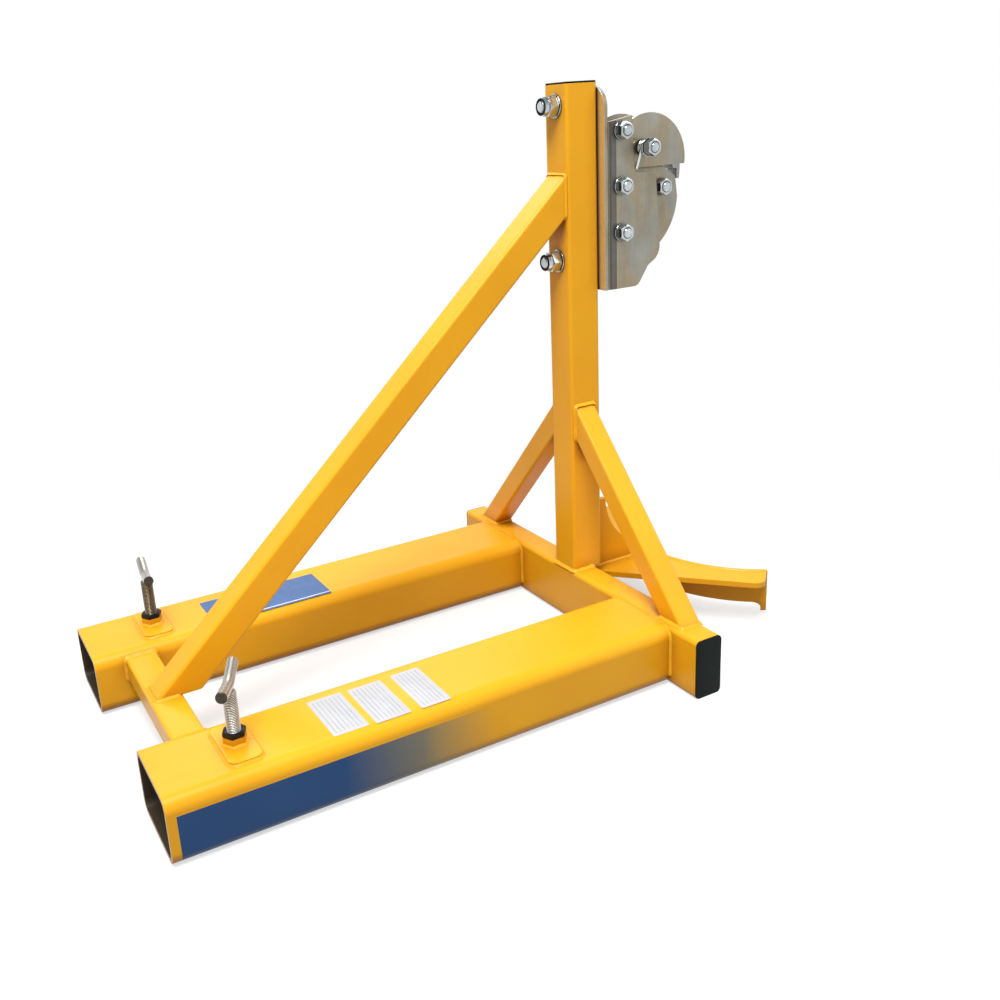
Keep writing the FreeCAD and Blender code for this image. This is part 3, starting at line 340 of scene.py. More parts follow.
# near black painted shade in the roots of the threads, found by the surface's pointiness
THREAD_ROOT_SHADE = (0.004, 0.003, 0.002, 1)
CLAMP_THREADS = {
    "right": make_metal("threaded_steel", (0.90, 0.88, 0.83, 1), (0.66, 0.64, 0.58, 1), 0.34,
                        edge=0.2 * MM, crevice_shade=THREAD_ROOT_SHADE, depth=None),
    # the left screw's thread is darker and browner than the right one's
    "left": make_metal("browner_thread", (0.52, 0.46, 0.34, 1), (0.26, 0.21, 0.13, 1), 0.4,
                       edge=0.2 * MM, crevice_shade=THREAD_ROOT_SHADE, depth=None),
}
# dark steel for the bars' cut ends, tinted brown by a painted reflection of the yellow paint
SAWN_END_YELLOW_REFLECTION = make_metal("sawn_bar_end_yellow_reflection", (0.15, 0.125, 0.10, 1), (0.05, 0.042, 0.035, 1), 0.42,
                      (1, 0.2, 1), 500.0)

SLEEVE_WALL = 8 * MM
SLEEVE_CORNER = 20 * MM
INSIDE_SHADE_START = 0.6   # how far through the wall the painted shade inside begins


def paint_nodes():
    """Gives every CAD node the material of its slot, and the sleeves a paint of their own, with
    painted shade inside.
    """
    low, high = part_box("fork_sleeve_left")
    sleeve_paint = make_yellow_paint("sleeve_coat_shaded_inside", (
        (low.y + high.y) / 2, (low.z + high.z) / 2, (high.y - low.y) / 2, (high.z - low.z) / 2,
        SLEEVE_CORNER, INSIDE_SHADE_START * SLEEVE_WALL))
    for row in frame["record"]["subparts"]:
        mesh = frame["nodes"][row["node"]].data
        mesh.materials.clear()
        sleeve = row["node"].startswith("fork_sleeve")
        mesh.materials.append(sleeve_paint if sleeve else MATERIALS[row["material_slot"]])


# Mesh helpers

TINY = 1e-6


class Shell:
    """Collects the points and faces of one piece."""

    def __init__(self):
        self.points, self.faces = [], []

    def rings(self, rings, capped=True):
        """Skins closed rings of equally many points."""
        start = len(self.points)
        count = len(rings[0])
        for ring in rings:
            self.points.extend(ring)
        for level in range(len(rings) - 1):
            for index in range(count):
                after = (index + 1) % count
                low, high = start + level * count, start + (level + 1) * count
                self.faces.append((low + index, low + after, high + after, high + index))
        if capped:
            self.faces.append(tuple(start + index for index in reversed(range(count))))
            last = start + (len(rings) - 1) * count
            self.faces.append(tuple(last + index for index in range(count)))

    def tube_between(self, outer, inner):
        """Skins an outer and an inner stack of rings to a closed body with a hole."""
        self.rings(outer + list(reversed(inner)) + [outer[0]], capped=False)

    def piece(self, name, slot, body="root", replaces=(), material=None, sharp=35, ends=None):
        """Makes the piece. Its material is the slot's unless it is given one.

        ends is a second material and a test that finds its faces by their centres.
        """
        mesh = bpy.data.meshes.new(name)
        mesh.from_pydata([tuple(point) for point in self.points], [], self.faces)
        mesh.validate()
        thing = bpy.data.objects.new(name, mesh)
        bpy.context.scene.collection.objects.link(thing)
        weld = thing.modifiers.new("weld", "WELD")
        weld.merge_threshold = TINY
        settled = bpy.data.meshes.new_from_object(
            thing.evaluated_get(bpy.context.evaluated_depsgraph_get()))
        thing.modifiers.clear()
        thing.data = settled
        settled.name = name
        bpy.data.meshes.remove(mesh)
        settled.materials.clear()
        settled.materials.append(material or MATERIALS[slot])
        if ends:
            end_material, is_end = ends
            settled.materials.append(end_material)
            for face in settled.polygons:
                face.material_index = int(is_end(face.center))
        settled.shade_smooth()
        settled.set_sharp_from_angle(angle=math.radians(sharp))
        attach(thing, body)
        if replaces:
            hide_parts(*replaces)


def axis_frame(centre, axis, turn=0.0):
    """A matrix whose local Z runs along an axis."""
    turned = Z_AXIS.rotation_difference(Vector(axis)).to_matrix().to_4x4()
    return Matrix.Translation(Vector(centre)) @ turned @ Matrix.Rotation(turn, 4, "Z")


def circle_ring(place, radius, height, segments):
    return [place @ Vector((radius * math.cos(2 * math.pi * k / segments),
                            radius * math.sin(2 * math.pi * k / segments), height))
            for k in range(segments)]


def lathe(shell, place, profile, segments=48):
    """Turns a closed profile of (radius, height) pairs that runs up outside and down inside."""
    rings = [circle_ring(place, radius, height, segments) for radius, height in profile]
    shell.rings(rings + [rings[0]], capped=False)


def hexagon_radius(angle, flats):
    folded = (angle + math.pi / 6) % (math.pi / 3) - math.pi / 6
    return flats / 2 / math.cos(folded)


HEXAGON_SEGMENTS = 72
CHAMFER = 0.55          # a chamfer's drop for each length outward
CHAMFER_START = 0.97    # where it starts, as a share of the way to a flat


def hexagon_ring(place, flats, limit, height, slope):
    """A hexagon's ring cut by a chamfer cone: past the limit radius it drops by the slope."""
    ring = []
    for k in range(HEXAGON_SEGMENTS):
        angle = 2 * math.pi * k / HEXAGON_SEGMENTS
        radius = hexagon_radius(angle, flats)
        drop = max(radius - limit, 0) * slope
        ring.append(place @ Vector((radius * math.cos(angle), radius * math.sin(angle),
                                    height - drop)))
    return ring


def hexagon_head(shell, place, flats, height):
    """A bolt's head, with a turned chamfer round its top."""
    limit = flats / 2 * CHAMFER_START
    shell.rings([hexagon_ring(place, flats, flats, 0, 0),
                 hexagon_ring(place, flats, limit, height, CHAMFER),
                 circle_ring(place, limit, height, HEXAGON_SEGMENTS)])


def hexagon_nut(shell, place, flats, low, high, bore):
    """A hexagon with a turned chamfer and a countersink at both ends of its bore."""
    limit = flats / 2 * CHAMFER_START
    sink = bore * 0.12
    shell.tube_between(
        [circle_ring(place, limit, low, HEXAGON_SEGMENTS),
         hexagon_ring(place, flats, limit, low, -CHAMFER),
         hexagon_ring(place, flats, limit, high, CHAMFER),
         circle_ring(place, limit, high, HEXAGON_SEGMENTS)],
        [circle_ring(place, radius, height, HEXAGON_SEGMENTS) for radius, height in (
            (bore + sink, low), (bore, low + sink), (bore, high - sink), (bore + sink, high))])


def thread(shell, place, radius, low, high, pitch, depth, chamfer, segments=36):
    """A screw thread with flat crests. Its ridge winds round and its ends are chamfered."""
    steps_per_turn = 6
    rows = max(int((high - low) / pitch * steps_per_turn), 2)
    rings = []
    for row in range(rows + 1):
        height = low + (high - low) * row / rows
        ring = []
        for k in range(segments):
            phase = (height / pitch - k / segments) % 1
            ridge = min(max(abs(phase - 0.5) * 4 - 0.5, 0), 1)
            limit = radius - max(chamfer - (height - low), chamfer - (high - height), 0)
            reach = min(radius - depth * ridge, max(limit, radius - 3 * depth))
            angle = 2 * math.pi * k / segments
            ring.append(place @ Vector((reach * math.cos(angle), reach * math.sin(angle),
                                        height)))
        rings.append(ring)
    shell.rings(rings)


def round_outline(half_width, half_height, corner, steps=6):
    """A rectangle's outline with rounded corners, anticlockwise, as (across, up) pairs."""
    corner = max(corner, 0.01 * MM)
    points = []
    for quarter, (side, top) in enumerate(((1, 1), (-1, 1), (-1, -1), (1, -1))):
        for step in range(steps + 1):
            angle = math.pi / 2 * (quarter + step / steps)
            points.append((side * (half_width - corner) + corner * math.cos(angle),
                           top * (half_height - corner) + corner * math.sin(angle)))
    return points


def soft_block(shell, place, half_width, half_height, corner, low, high, soft, steps=4):
    """A block with a rounded outline and rounded upper and lower edges."""
    rings = []
    for step in range(steps + 1):
        angle = math.pi / 2 * step / steps
        inset, lift = soft * (1 - math.sin(angle)), soft * (1 - math.cos(angle))
        rings.append((inset, low + lift))
    rings += [(inset, high - (height - low)) for inset, height in reversed(rings)]
    shell.rings([[place @ Vector((across, up, height))
                  for across, up in round_outline(half_width - inset, half_height - inset,
                                                  corner - inset)]
                 for inset, height in rings])


def path_frames(points, closed):
    """Each point of a path, with the path's direction there."""
    count = len(points)
    for index, point in enumerate(points):
        before = points[index - 1] if closed or index else point
        after = points[(index + 1) % count] if closed or index < count - 1 else point
        yield point, (after - before).normalized()


def resample(points, spacing, closed=False):
    """Evenly spaced points along a polyline."""
    line = points + [points[0]] if closed else points
    lengths = [(b - a).length for a, b in zip(line, line[1:])]
    total = sum(lengths)
    count = max(int(round(total / spacing)), 2)
    result, index, walked = [], 0, 0.0
    for step in range(count if closed else count + 1):
        target = total * step / count
        while index < len(lengths) - 1 and walked + lengths[index] < target:
            walked += lengths[index]
            index += 1
        share = (target - walked) / lengths[index] if lengths[index] else 0
        result.append(line[index].lerp(line[index + 1], min(max(share, 0), 1)))
    return result


def rod(shell, points, radius, segments=16, closed=False, size=None, up=Z_AXIS):
    """A rod along a path that never runs along up.

    size scales its radius by point and by angle round it.
    """
    rings = []
    for index, (point, along) in enumerate(path_frames(points, closed)):
        side = along.cross(up).normalized()
        rise = side.cross(along).normalized()
        ring = []
        for k in range(segments):
            angle = 2 * math.pi * k / segments
            reach = radius * (size(index, point, angle) if size else 1)
            ring.append(point + (side * math.cos(angle) + rise * math.sin(angle)) * reach)
        rings.append(ring)
    shell.rings(rings + [rings[0]] if closed else rings, capped=not closed)


def solids(node):
    """The boxes of the separate solids of a CAD node, from the lowest and rearmost up."""
    mesh = frame["nodes"][node].data
    parent = {}

    def root(key):
        while parent[key] != key:
            parent[key] = parent[parent[key]]
            key = parent[key]
        return key

    keys = [tuple(round(number, 6) for number in vertex.co) for vertex in mesh.vertices]
    for key in keys:
        parent.setdefault(key, key)
    for face in mesh.polygons:
        first = root(keys[face.vertices[0]])
        for vertex in face.vertices[1:]:
            parent[root(keys[vertex])] = first
    boxes = {}
    for key in parent:
        low, high = boxes.setdefault(root(key), ([math.inf] * 3, [-math.inf] * 3))
        for axis in range(3):
            low[axis] = min(low[axis], key[axis])
            high[axis] = max(high[axis], key[axis])
    found = [(Vector(low), Vector(high)) for low, high in boxes.values()]
    return sorted(found, key=lambda pair: (round(pair[0].z, 3), round(pair[0].x, 3)))


# Plastic caps

def make_caps():
    """Caps with a rounded lip over the tube's end and a plug inside it."""
    soft, lip, inset = 1.6 * MM, 3 * MM, 5.3 * MM
    for node, axis, corner in (("mast_cap", Z_AXIS, 6 * MM),
                               ("cross_tube_cap_left", Y_AXIS, 8 * MM),
                               ("cross_tube_cap_right", -Y_AXIS, 8 * MM)):
        low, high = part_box(node)
        middle = (low + high) / 2
        half = (high - low) / 2
        reach = abs(half.dot(axis))
        tip = middle + axis * (reach - lip)
        place = axis_frame(tip, axis)
        local = place.to_3x3().inverted() @ half
        shell = Shell()
        soft_block(shell, place, abs(local.x), abs(local.y), corner, 0, lip, soft)
        soft_block(shell, place, abs(local.x) - inset, abs(local.y) - inset, corner - 4 * MM,
                   -2 * reach + lip, -0.1 * MM, soft)
        shell.piece(node + "_moulding", "black_plastic", replaces=[node])


# Nuts, bolts and washers

def along_axis(box, axis):
    """A box's middle, its half length along an axis, and its two half widths across it."""
    low, high = box
    half = (high - low) / 2
    across = [half[k] for k in range(3) if abs(axis[k]) < 0.5]
    return (low + high) / 2, abs(half.dot(axis)), across


def make_washers(node, axis, body="root"):
    shell = Shell()
    for box in solids(node):
        middle, reach, across = along_axis(box, axis)
        radius = max(across)
        bore = radius * 0.57
        soft = 0.35 * MM
        place = axis_frame(middle, axis)
        lathe(shell, place, [(bore, -reach), (radius - soft, -reach), (radius, -reach + soft),
                             (radius, reach - soft), (radius - soft, reach), (bore, reach)])
    shell.piece(node + "_pressed", "zinc_fasteners", body, [node])


def make_nuts(node, axis, bore, body="root", collar=0.0, collar_radius=0.0):
    """Hexagon nuts whose outer side points along the axis, with a lock nut's round collar."""
    shell = Shell()
    for box in solids(node):
        middle, reach, across = along_axis(box, axis)
        place = axis_frame(middle, axis, hexagon_turn(box, axis))
        top = reach - collar
        hexagon_nut(shell, place, 2 * min(across), -reach, top, bore)
        if collar:
            hole, lip = bore * 1.04, collar_radius - 1.1 * MM
            foot, ledge, rim = top - 0.5 * MM, reach - 1.6 * MM, reach - 0.5 * MM
            lathe(shell, place, [
                (hole, foot), (collar_radius, foot), (collar_radius, ledge),
                (collar_radius - 0.35 * MM, reach - 0.8 * MM), (lip, rim), (lip, ledge),
                (hole, ledge)])
    shell.piece(node + "_chamfered", "zinc_fasteners", body, [node])
    if collar:
        make_lock_rings(node, axis, bore, collar_radius - 0.2 * MM, body)


def make_lock_rings(node, axis, bore, radius, body):
    """The dark plastic rings held in the ends of the lock nuts."""
    shell = Shell()
    for box in solids(node):
        middle, reach = along_axis(box, axis)[:2]
        lathe(shell, axis_frame(middle, axis), [
            (bore, reach - 1.5 * MM), (radius, reach - 1.5 * MM), (radius, reach - 0.4 * MM),
            (radius - 0.4 * MM, reach), (bore + 0.5 * MM, reach), (bore, reach - 0.5 * MM)])
    shell.piece(node + "_rings", "black_plastic", body, [node])


def hexagon_turn(box, axis):
    """0 where a hexagon's corners point along the local X axis, and else 30 degrees."""
    place = axis_frame((0, 0, 0), axis).to_3x3().inverted()
    half = place @ ((box[1] - box[0]) / 2)
    return math.pi / 6 if abs(half.x) < abs(half.y) else 0.0


THREAD_DEPTH = 0.61     # a metric thread's depth, as a share of its pitch


def make_bolts(node, axis, radius, flats, head, pitch, threaded, body="root", chamfer=1.4 * MM):
    """Hexagon bolts. The axis runs from a bolt's head to its threaded end."""
    overlap, core = 0.1 * MM, 0.01 * MM
    shell = Shell()
    for box in solids(node):
        middle, reach = along_axis(box, axis)[:2]
        turn = hexagon_turn(box, -axis)
        head_place = axis_frame(middle - axis * (reach - head), -axis, turn)
        hexagon_head(shell, head_place, flats, head)
        place = axis_frame(middle, axis)
        start, plain = -reach + head - overlap, reach - threaded
        lathe(shell, place, [(core, start), (radius, start), (radius, plain), (core, plain)], 36)
        thread(shell, place, radius, plain - overlap, reach, pitch, THREAD_DEPTH * pitch, chamfer)
    shell.piece(node + "_threaded", "zinc_fasteners", body, [node])


def make_fasteners():
    m20 = {"radius": 10 * MM, "flats": 30 * MM, "head": 12.5 * MM, "pitch": 2.5 * MM}
    m16 = {"radius": 8 * MM, "flats": 24 * MM, "head": 10 * MM, "pitch": 2 * MM}
    m20_bore, m16_bore = 10.2 * MM, 8.2 * MM
    make_bolts("mast_bolts", -X_AXIS, **m20, threaded=40 * MM, chamfer=2.6 * MM)
    make_washers("mast_washers", -X_AXIS)
    make_nuts("mast_lock_nuts", -X_AXIS, m20_bore, collar=9 * MM, collar_radius=13.5 * MM)
    make_bolts("cheek_bolts", -Y_AXIS, **m16, threaded=38 * MM)
    make_washers("cheek_washers", -Y_AXIS)
    make_nuts("cheek_nuts", -Y_AXIS, m16_bore)
    make_bolts("lower_jaw_bolt", -Y_AXIS, **m16, threaded=30 * MM, body="carriage")
    make_nuts("lower_jaw_nut", -Y_AXIS, m16_bore, "carriage")
    make_bolts("pivot_bolt", -Y_AXIS, **m16, threaded=38 * MM, body="carriage")
    make_washers("pivot_washer", -Y_AXIS, "carriage")
    make_nuts("pivot_nut", -Y_AXIS, m16_bore, "carriage")


# Clamp screws

NUT_FLATS = 30 * MM
NUT_TURN = math.radians(-27)
NUT_BORE = 10.1 * MM
T_BAR_TURN = {"right": math.radians(63), "left": math.radians(84)}
T_BAR_END = 0.86        # the radius of a bar's chamfered end, as a share of the bar's


def make_clamps():
    pitch, depth, chamfer = 2.5 * MM, 1.3 * MM, 1.6 * MM
    for side in ("right", "left"):
        node = "clamp_screw_" + side
        low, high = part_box(node)
        middle = (low + high) / 2
        radius = (high.x - low.x) / 2
        place = Matrix.Translation((middle.x, middle.y, 0))
        shell = Shell()
        thread(shell, place, radius, low.z, high.z, pitch, depth, chamfer, 48)
        shell.piece(node + "_threaded", "clamp_steel", node, [node], CLAMP_THREADS[side])

        place = place @ Matrix.Rotation(NUT_TURN, 4, "Z")
        for name, slot in (("weld_nut_", "yellow_paint"), ("jam_nut_", "black_oxide")):
            low_nut, high_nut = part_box(name + side)
            shell = Shell()
            hexagon_nut(shell, place, NUT_FLATS, low_nut.z, high_nut.z, NUT_BORE)
            shell.piece(name + side + "_chamfered", slot, "root", [name + side])

        make_t_bar(side, middle)


def make_t_bar(side, middle):
    """The bar across a screw's top: one rod with a soft bend in its middle and chamfered ends."""
    node = "t_bar_" + side
    radius, arm, bend = 8 * MM, 50 * MM, 14 * MM
    rise, turn = math.radians(11.5), T_BAR_TURN[side]
    across = Vector((math.cos(turn), math.sin(turn), 0))
    centre = Vector((middle.x, middle.y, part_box(node)[0].z + radius))
    points = []
    for way in (-1, 1):
        stops = [arm, arm - 1.2 * MM, arm - 20 * MM, bend]
        line = [centre + (across * way * math.cos(rise) + Z_AXIS * math.sin(rise)) * reach
                for reach in stops]
        points += line if way < 0 else list(reversed(line))
    half = len(points) // 2
    first, last = points[half - 1], points[half]
    curve = [first.lerp(centre, share).lerp(centre.lerp(last, share), share)
             for share in (step / 8 for step in range(1, 8))]
    points = points[:half] + curve + points[half:]
    ends = {0: T_BAR_END, len(points) - 1: T_BAR_END}
    shell = Shell()
    rod(shell, points, radius, 32, size=lambda index, point, angle: ends.get(index, 1))
    shell.piece(node + "_bent", "clamp_steel", node, [node], ends=(
        SAWN_END_YELLOW_REFLECTION, lambda place: (place - centre).length > arm - 1.5 * MM))


# Torsion spring

LEG_SCALE = 1.2         # how much thicker the leg is than the coils


def make_spring():
    """Wire wound round the pivot, with one leg down to the cheek's step."""
    low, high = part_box("torsion_spring")
    bolt_low, bolt_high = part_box("pivot_bolt")
    centre = (bolt_low + bolt_high) / 2
    wire, radius, turns, steps = 2 * MM, 10.6 * MM, 2.75, 28
    first_y, last_y = high.y - wire, low.y + wire
    total = int(turns * steps)
    points = []
    for step in range(total + 1):
        angle = math.pi / 2 - 2 * math.pi * step / steps
        along = first_y + (last_y - first_y) * step / total
        points.append(Vector((centre.x + radius * math.cos(angle), along,
                              centre.z + radius * math.sin(angle))))
    start = points[-1]
    foot = Vector((95.3 * MM, -45 * MM, low.z + wire * LEG_SCALE))
    points += [start.lerp(foot, share) for share in (0.15, 0.4, 0.7, 1.0)]
    shell = Shell()
    rod(shell, points, wire, 14, up=Y_AXIS,
        size=lambda index, point, angle: LEG_SCALE if index > total else 1)
    shell.piece("torsion_spring_wound", "spring_steel", "carriage", ["torsion_spring"])


# Weld beads

BEAD_ROUNDNESS = 0.95   # 2 is a round section and 1 a flat one
BEAD = 4.5 * MM
SMALL_BEAD = 3.2 * MM
CROSS_CORNER = 8 * MM
TUBE_CORNER = 5 * MM
SUNK = 0.6              # how much of a rounded edge's drop a bead follows


def make_weld(name, points, leg, closed=False, up=Z_AXIS):
    """A painted fillet bead along an inner corner, with the ripples of its passes.

    Its section is nearly flat between its two legs, which lie along the surface that up stands
    on and along the wall that rises from it.
    """
    ripple, spacing = 4.2 * MM, 1.05 * MM
    path = resample(points, spacing, closed)
    count = len(path)

    def size(index, point, angle):
        flat = (abs(math.cos(angle)) ** BEAD_ROUNDNESS
                + abs(math.sin(angle)) ** BEAD_ROUNDNESS) ** (-1 / BEAD_ROUNDNESS)
        crescent = 0.25 * abs(math.sin(2 * angle))
        phase = (index * spacing / ripple + crescent) % 1
        crest = 0.10 * math.sin(math.pi * phase)
        uneven = 0.22 * noise.noise(point * 70)
        taper = 1 if closed else min(1, 0.35 + min(index, count - 1 - index) * 0.3)
        return flat * (0.93 + crest + uneven) * taper

    shell = Shell()
    rod(shell, path, leg, closed=closed, size=size, up=up)
    shell.piece(name, "yellow_paint", material=PAINTED_WELD, sharp=60)


def loop(centre, across, up, half_width, half_height, corner):
    """A rounded rectangle's path on a surface."""
    return [centre + across * a + up * b
            for a, b in round_outline(half_width, half_height, corner, 4)]


def bent(points, radius, steps=4):
    """A path whose inner corners are rounded."""
    path = [points[0]]
    for before, corner, after in zip(points, points[1:], points[2:]):
        first = corner + (before - corner).normalized() * radius
        last = corner + (after - corner).normalized() * radius
        for step in range(steps + 1):
            share = step / steps
            path.append(first.lerp(corner, share).lerp(corner.lerp(last, share), share))
    return path + [points[-1]]


def round_drop(distance, radius):
    """How far a rounded edge lies below its flat at a distance past where it starts."""
    distance = min(max(distance, 0), radius)
    return radius - math.sqrt(radius ** 2 - distance ** 2)


def tube_end(size, run, rise):
    """How long a slanted tube's ends are where they are cut level and where cut upright."""
    slope = math.hypot(run, rise)
    return size * slope / rise, size * slope / run


def make_sleeve_welds(side, sign):
    """The beads over a sleeve's front end and round the rear cross tube's end beside it."""
    cross_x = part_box("front_cross_tube")[0].x
    low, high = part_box("fork_sleeve_" + side)
    middle, half = (low + high) / 2, (high - low) / 2
    outline = loop(Vector((cross_x, middle.y, middle.z)), Y_AXIS, Z_AXIS, half.y, half.z,
                   SLEEVE_CORNER)
    upper = sorted((point for point in outline if point.z > middle.z), key=lambda point: point.y)
    start = 14 * MM
    path = [Vector((cross_x, low.y, start))] + upper + [Vector((cross_x, high.y, start))]
    for point in path:
        drop = round_drop(point.z - (high.z - CROSS_CORNER), CROSS_CORNER)
        point.x += drop * 0.35
        point.z -= drop * 0.3
    make_weld("weld_sleeve_front_" + side, path, SMALL_BEAD, up=X_AXIS)

    rear_low, rear_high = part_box("rear_cross_tube")
    rear = (rear_low + rear_high) / 2
    path = loop(Vector((rear.x, sign * rear_high.y, rear.z)), X_AXIS, Z_AXIS,
                rear_high.x - rear.x, rear_high.z - rear.z, TUBE_CORNER)
    for point in path:
        point.y += sign * SUNK * round_drop(point.z - (high.z - SLEEVE_CORNER), SLEEVE_CORNER)
    make_weld("weld_rear_tube_" + side, path, BEAD, True, Y_AXIS)


def make_side_brace_welds(side, sign):
    cross_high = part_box("front_cross_tube")[1]
    low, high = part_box("side_brace_" + side)
    size = high.x - low.x
    run, rise = high.y - low.y, high.z - low.z
    level, upright = tube_end(size, run, rise)
    x = (low.x + high.x) / 2
    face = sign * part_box("mast_tube")[1].y
    foot = Vector((x, face + sign * (run - level / 2), cross_high.z))
    path = loop(foot, X_AXIS, Y_AXIS, size / 2, level / 2, TUBE_CORNER)
    for point in path:
        drop = round_drop(point.x - (cross_high.x - CROSS_CORNER), CROSS_CORNER)
        point.z -= drop * 0.5
        point.x -= drop * 0.2
    make_weld("weld_brace_foot_" + side, path, BEAD, True)
    top = Vector((x, face, cross_high.z + rise - upright / 2))
    make_weld("weld_brace_top_" + side,
              loop(top, X_AXIS, Z_AXIS, size / 2, upright / 2, TUBE_CORNER), BEAD, True, Y_AXIS)


def make_clamp_welds(side):
    low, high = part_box("clamp_pad_" + side)
    middle, half = (low + high) / 2, (high - low) / 2
    pad_corner = 12 * MM
    make_weld("weld_pad_" + side,
              loop(Vector((middle.x, middle.y, low.z)), X_AXIS, Y_AXIS, half.x, half.y,
                   pad_corner), SMALL_BEAD, True)
    path, steps = [], 48
    for step in range(steps):
        angle = 2 * math.pi * step / steps
        reach = min(hexagon_radius(angle, NUT_FLATS), NUT_FLATS * 0.56)
        turned = angle + NUT_TURN
        path.append(Vector((middle.x + reach * math.cos(turned),
                            middle.y + reach * math.sin(turned), high.z)))
    make_weld("weld_nut_bead_" + side, path, SMALL_BEAD, True)


def make_mast_welds():
    cross_low, cross_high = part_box("front_cross_tube")
    low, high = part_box("mast_tube")
    front = cross_high.x - CROSS_CORNER * 0.4
    z = cross_high.z
    rear_z = z - SUNK * round_drop(cross_low.x + CROSS_CORNER - low.x, CROSS_CORNER)
    make_weld("weld_mast_foot", bent([
        Vector((front, low.y, z)), Vector((low.x, low.y, rear_z)),
        Vector((low.x, high.y, rear_z)), Vector((front, high.y, z))], 6 * MM), BEAD)

    brace_low, brace_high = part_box("diagonal_brace")
    rear_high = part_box("rear_cross_tube")[1]
    size = brace_high.y - brace_low.y
    upright = tube_end(size, low.x - brace_low.x, brace_high.z - rear_high.z)[1]
    front = rear_high.x - TUBE_CORNER
    z = rear_high.z
    make_weld("weld_diagonal_foot", bent([
        Vector((front, brace_low.y, z)), Vector((brace_low.x, brace_low.y, z)),
        Vector((brace_low.x, brace_high.y, z)), Vector((front, brace_high.y, z))], TUBE_CORNER),
        SMALL_BEAD)
    make_weld("weld_diagonal_top",
              loop(Vector((low.x, 0, brace_high.z - upright / 2)), Y_AXIS, Z_AXIS, size / 2,
                   upright / 2, TUBE_CORNER), SMALL_BEAD, True, X_AXIS)


def make_cradle_welds():
    cross_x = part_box("front_cross_tube")[1].x
    mast_low, mast_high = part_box("mast_tube")
    gusset_low, gusset_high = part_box("mast_gusset")
    low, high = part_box("cradle_plate")
    stop = 2 * MM
    for side, y in (("right", gusset_low.y), ("left", gusset_high.y)):
        make_weld("weld_gusset_" + side, [
            Vector((mast_high.x, y, gusset_high.z - stop)), Vector((mast_high.x, y, mast_low.z)),
            Vector((cross_x, y, mast_low.z)), Vector((cross_x, y, high.z)),
            Vector((gusset_high.x - stop, y, high.z))], SMALL_BEAD, up=Y_AXIS)
    half_root = 14 * MM
    make_weld("weld_cradle_root",
              loop(Vector((cross_x, 0, (low.z + high.z) / 2)), Y_AXIS, Z_AXIS, half_root,
                   (high.z - low.z) / 2, 1 * MM), SMALL_BEAD, True, X_AXIS)

    drum_x, radius, half_steps = 400 * MM, 241 * MM, 24
    reach = math.asin(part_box("cradle_band")[1].y / radius) - math.radians(1.5)
    for name, height, leg in (("under", low.z, BEAD), ("over", high.z - 0.8 * MM, 2.4 * MM)):
        path = []
        for step in range(2 * half_steps + 1):
            angle = reach * (step / half_steps - 1)
            path.append(Vector((drum_x - radius * math.cos(angle), radius * math.sin(angle),
                                height)))
        make_weld("weld_band_" + name, path, leg)


def make_welds():
    for side, sign in (("right", -1), ("left", 1)):
        make_sleeve_welds(side, sign)
        make_side_brace_welds(side, sign)
        make_clamp_welds(side)
    make_mast_welds()
    make_cradle_welds()


# Labels and the coloured band

WHITE_LABELS = (((-605, -271), (-552, -169)), ((-542, -274), (-488, -171)),
                ((-471, -275), (-424, -169)))
BLUE_LABEL = ((-640, 150), (-426, 246))
LABEL_THICKNESS = 0.15 * MM


def label_corners(places):
    """Two opposite corners on the sleeves' top, from their places in millimetres."""
    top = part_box("fork_sleeve_right")[1].z
    return [Vector((x, y, 0)) * MM + Z_AXIS * top for x, y in places]


def make_sheet(name, corners, material):
    """A thin flat label with rounded corners on a level surface."""
    low, high = corners
    middle, half = (low + high) / 2, (high - low) / 2
    shell = Shell()
    soft_block(shell, Matrix.Translation((middle.x, middle.y, 0)), half.x, half.y, 2 * MM,
               low.z, low.z + LABEL_THICKNESS, LABEL_THICKNESS * 0.4, 2)
    shell.piece(name, "yellow_paint", material=material)


def make_labels():
    for index, places in enumerate(WHITE_LABELS):
        corners = label_corners(places)
        material = make_blank_form("white_label_%d" % index, *corners)
        make_sheet("white_label_%d_sheet" % index, corners, material)
    corners = label_corners(BLUE_LABEL)
    line_margin, line_width = 7 * MM, 2.2 * MM
    material = make_label("blue_label", (0.065, 0.15, 0.36, 1), (0.80, 0.84, 0.92, 1),
                          corners[0].y + line_margin, line_width)
    make_sheet("blue_label_sheet", corners, material)


def make_band():
    """The blue band, which goes down the right sleeve's outer side and round its lower corner."""
    low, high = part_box("fork_sleeve_right")
    fade_start, fade_end, end = -0.60, -0.36, -0.34
    start = low.x + 13 * MM
    lift, rows, steps = 0.12 * MM, 60, 8
    profile = [(low.y - lift, high.z - SLEEVE_CORNER - 5 * MM)]
    for step in range(steps):
        angle = math.pi + math.pi / 2 * step / steps
        y = low.y + SLEEVE_CORNER + (SLEEVE_CORNER + lift) * math.cos(angle)
        z = SLEEVE_CORNER + (SLEEVE_CORNER + lift) * math.sin(angle)
        profile.append((y, max(z, 0.0)))
    ring = profile + [(y + 2 * lift, z) for y, z in reversed(profile)]
    shell = Shell()
    shell.rings([[Vector((start + (end - start) * row / rows, y, z)) for y, z in ring]
                 for row in range(rows + 1)])
    material = make_vinyl("blue_band_vinyl", (0.008, 0.052, 0.168, 1), (0.014, 0.072, 0.215, 1),
                          (0.25, 0.215, 0.12, 1), fade_start, fade_end)
    shell.piece("blue_band", "yellow_paint", material=material)


paint_nodes()
make_caps()
make_fasteners()
make_clamps()
make_spring()
make_welds()
make_labels()
make_band()


# Camera, floor and light

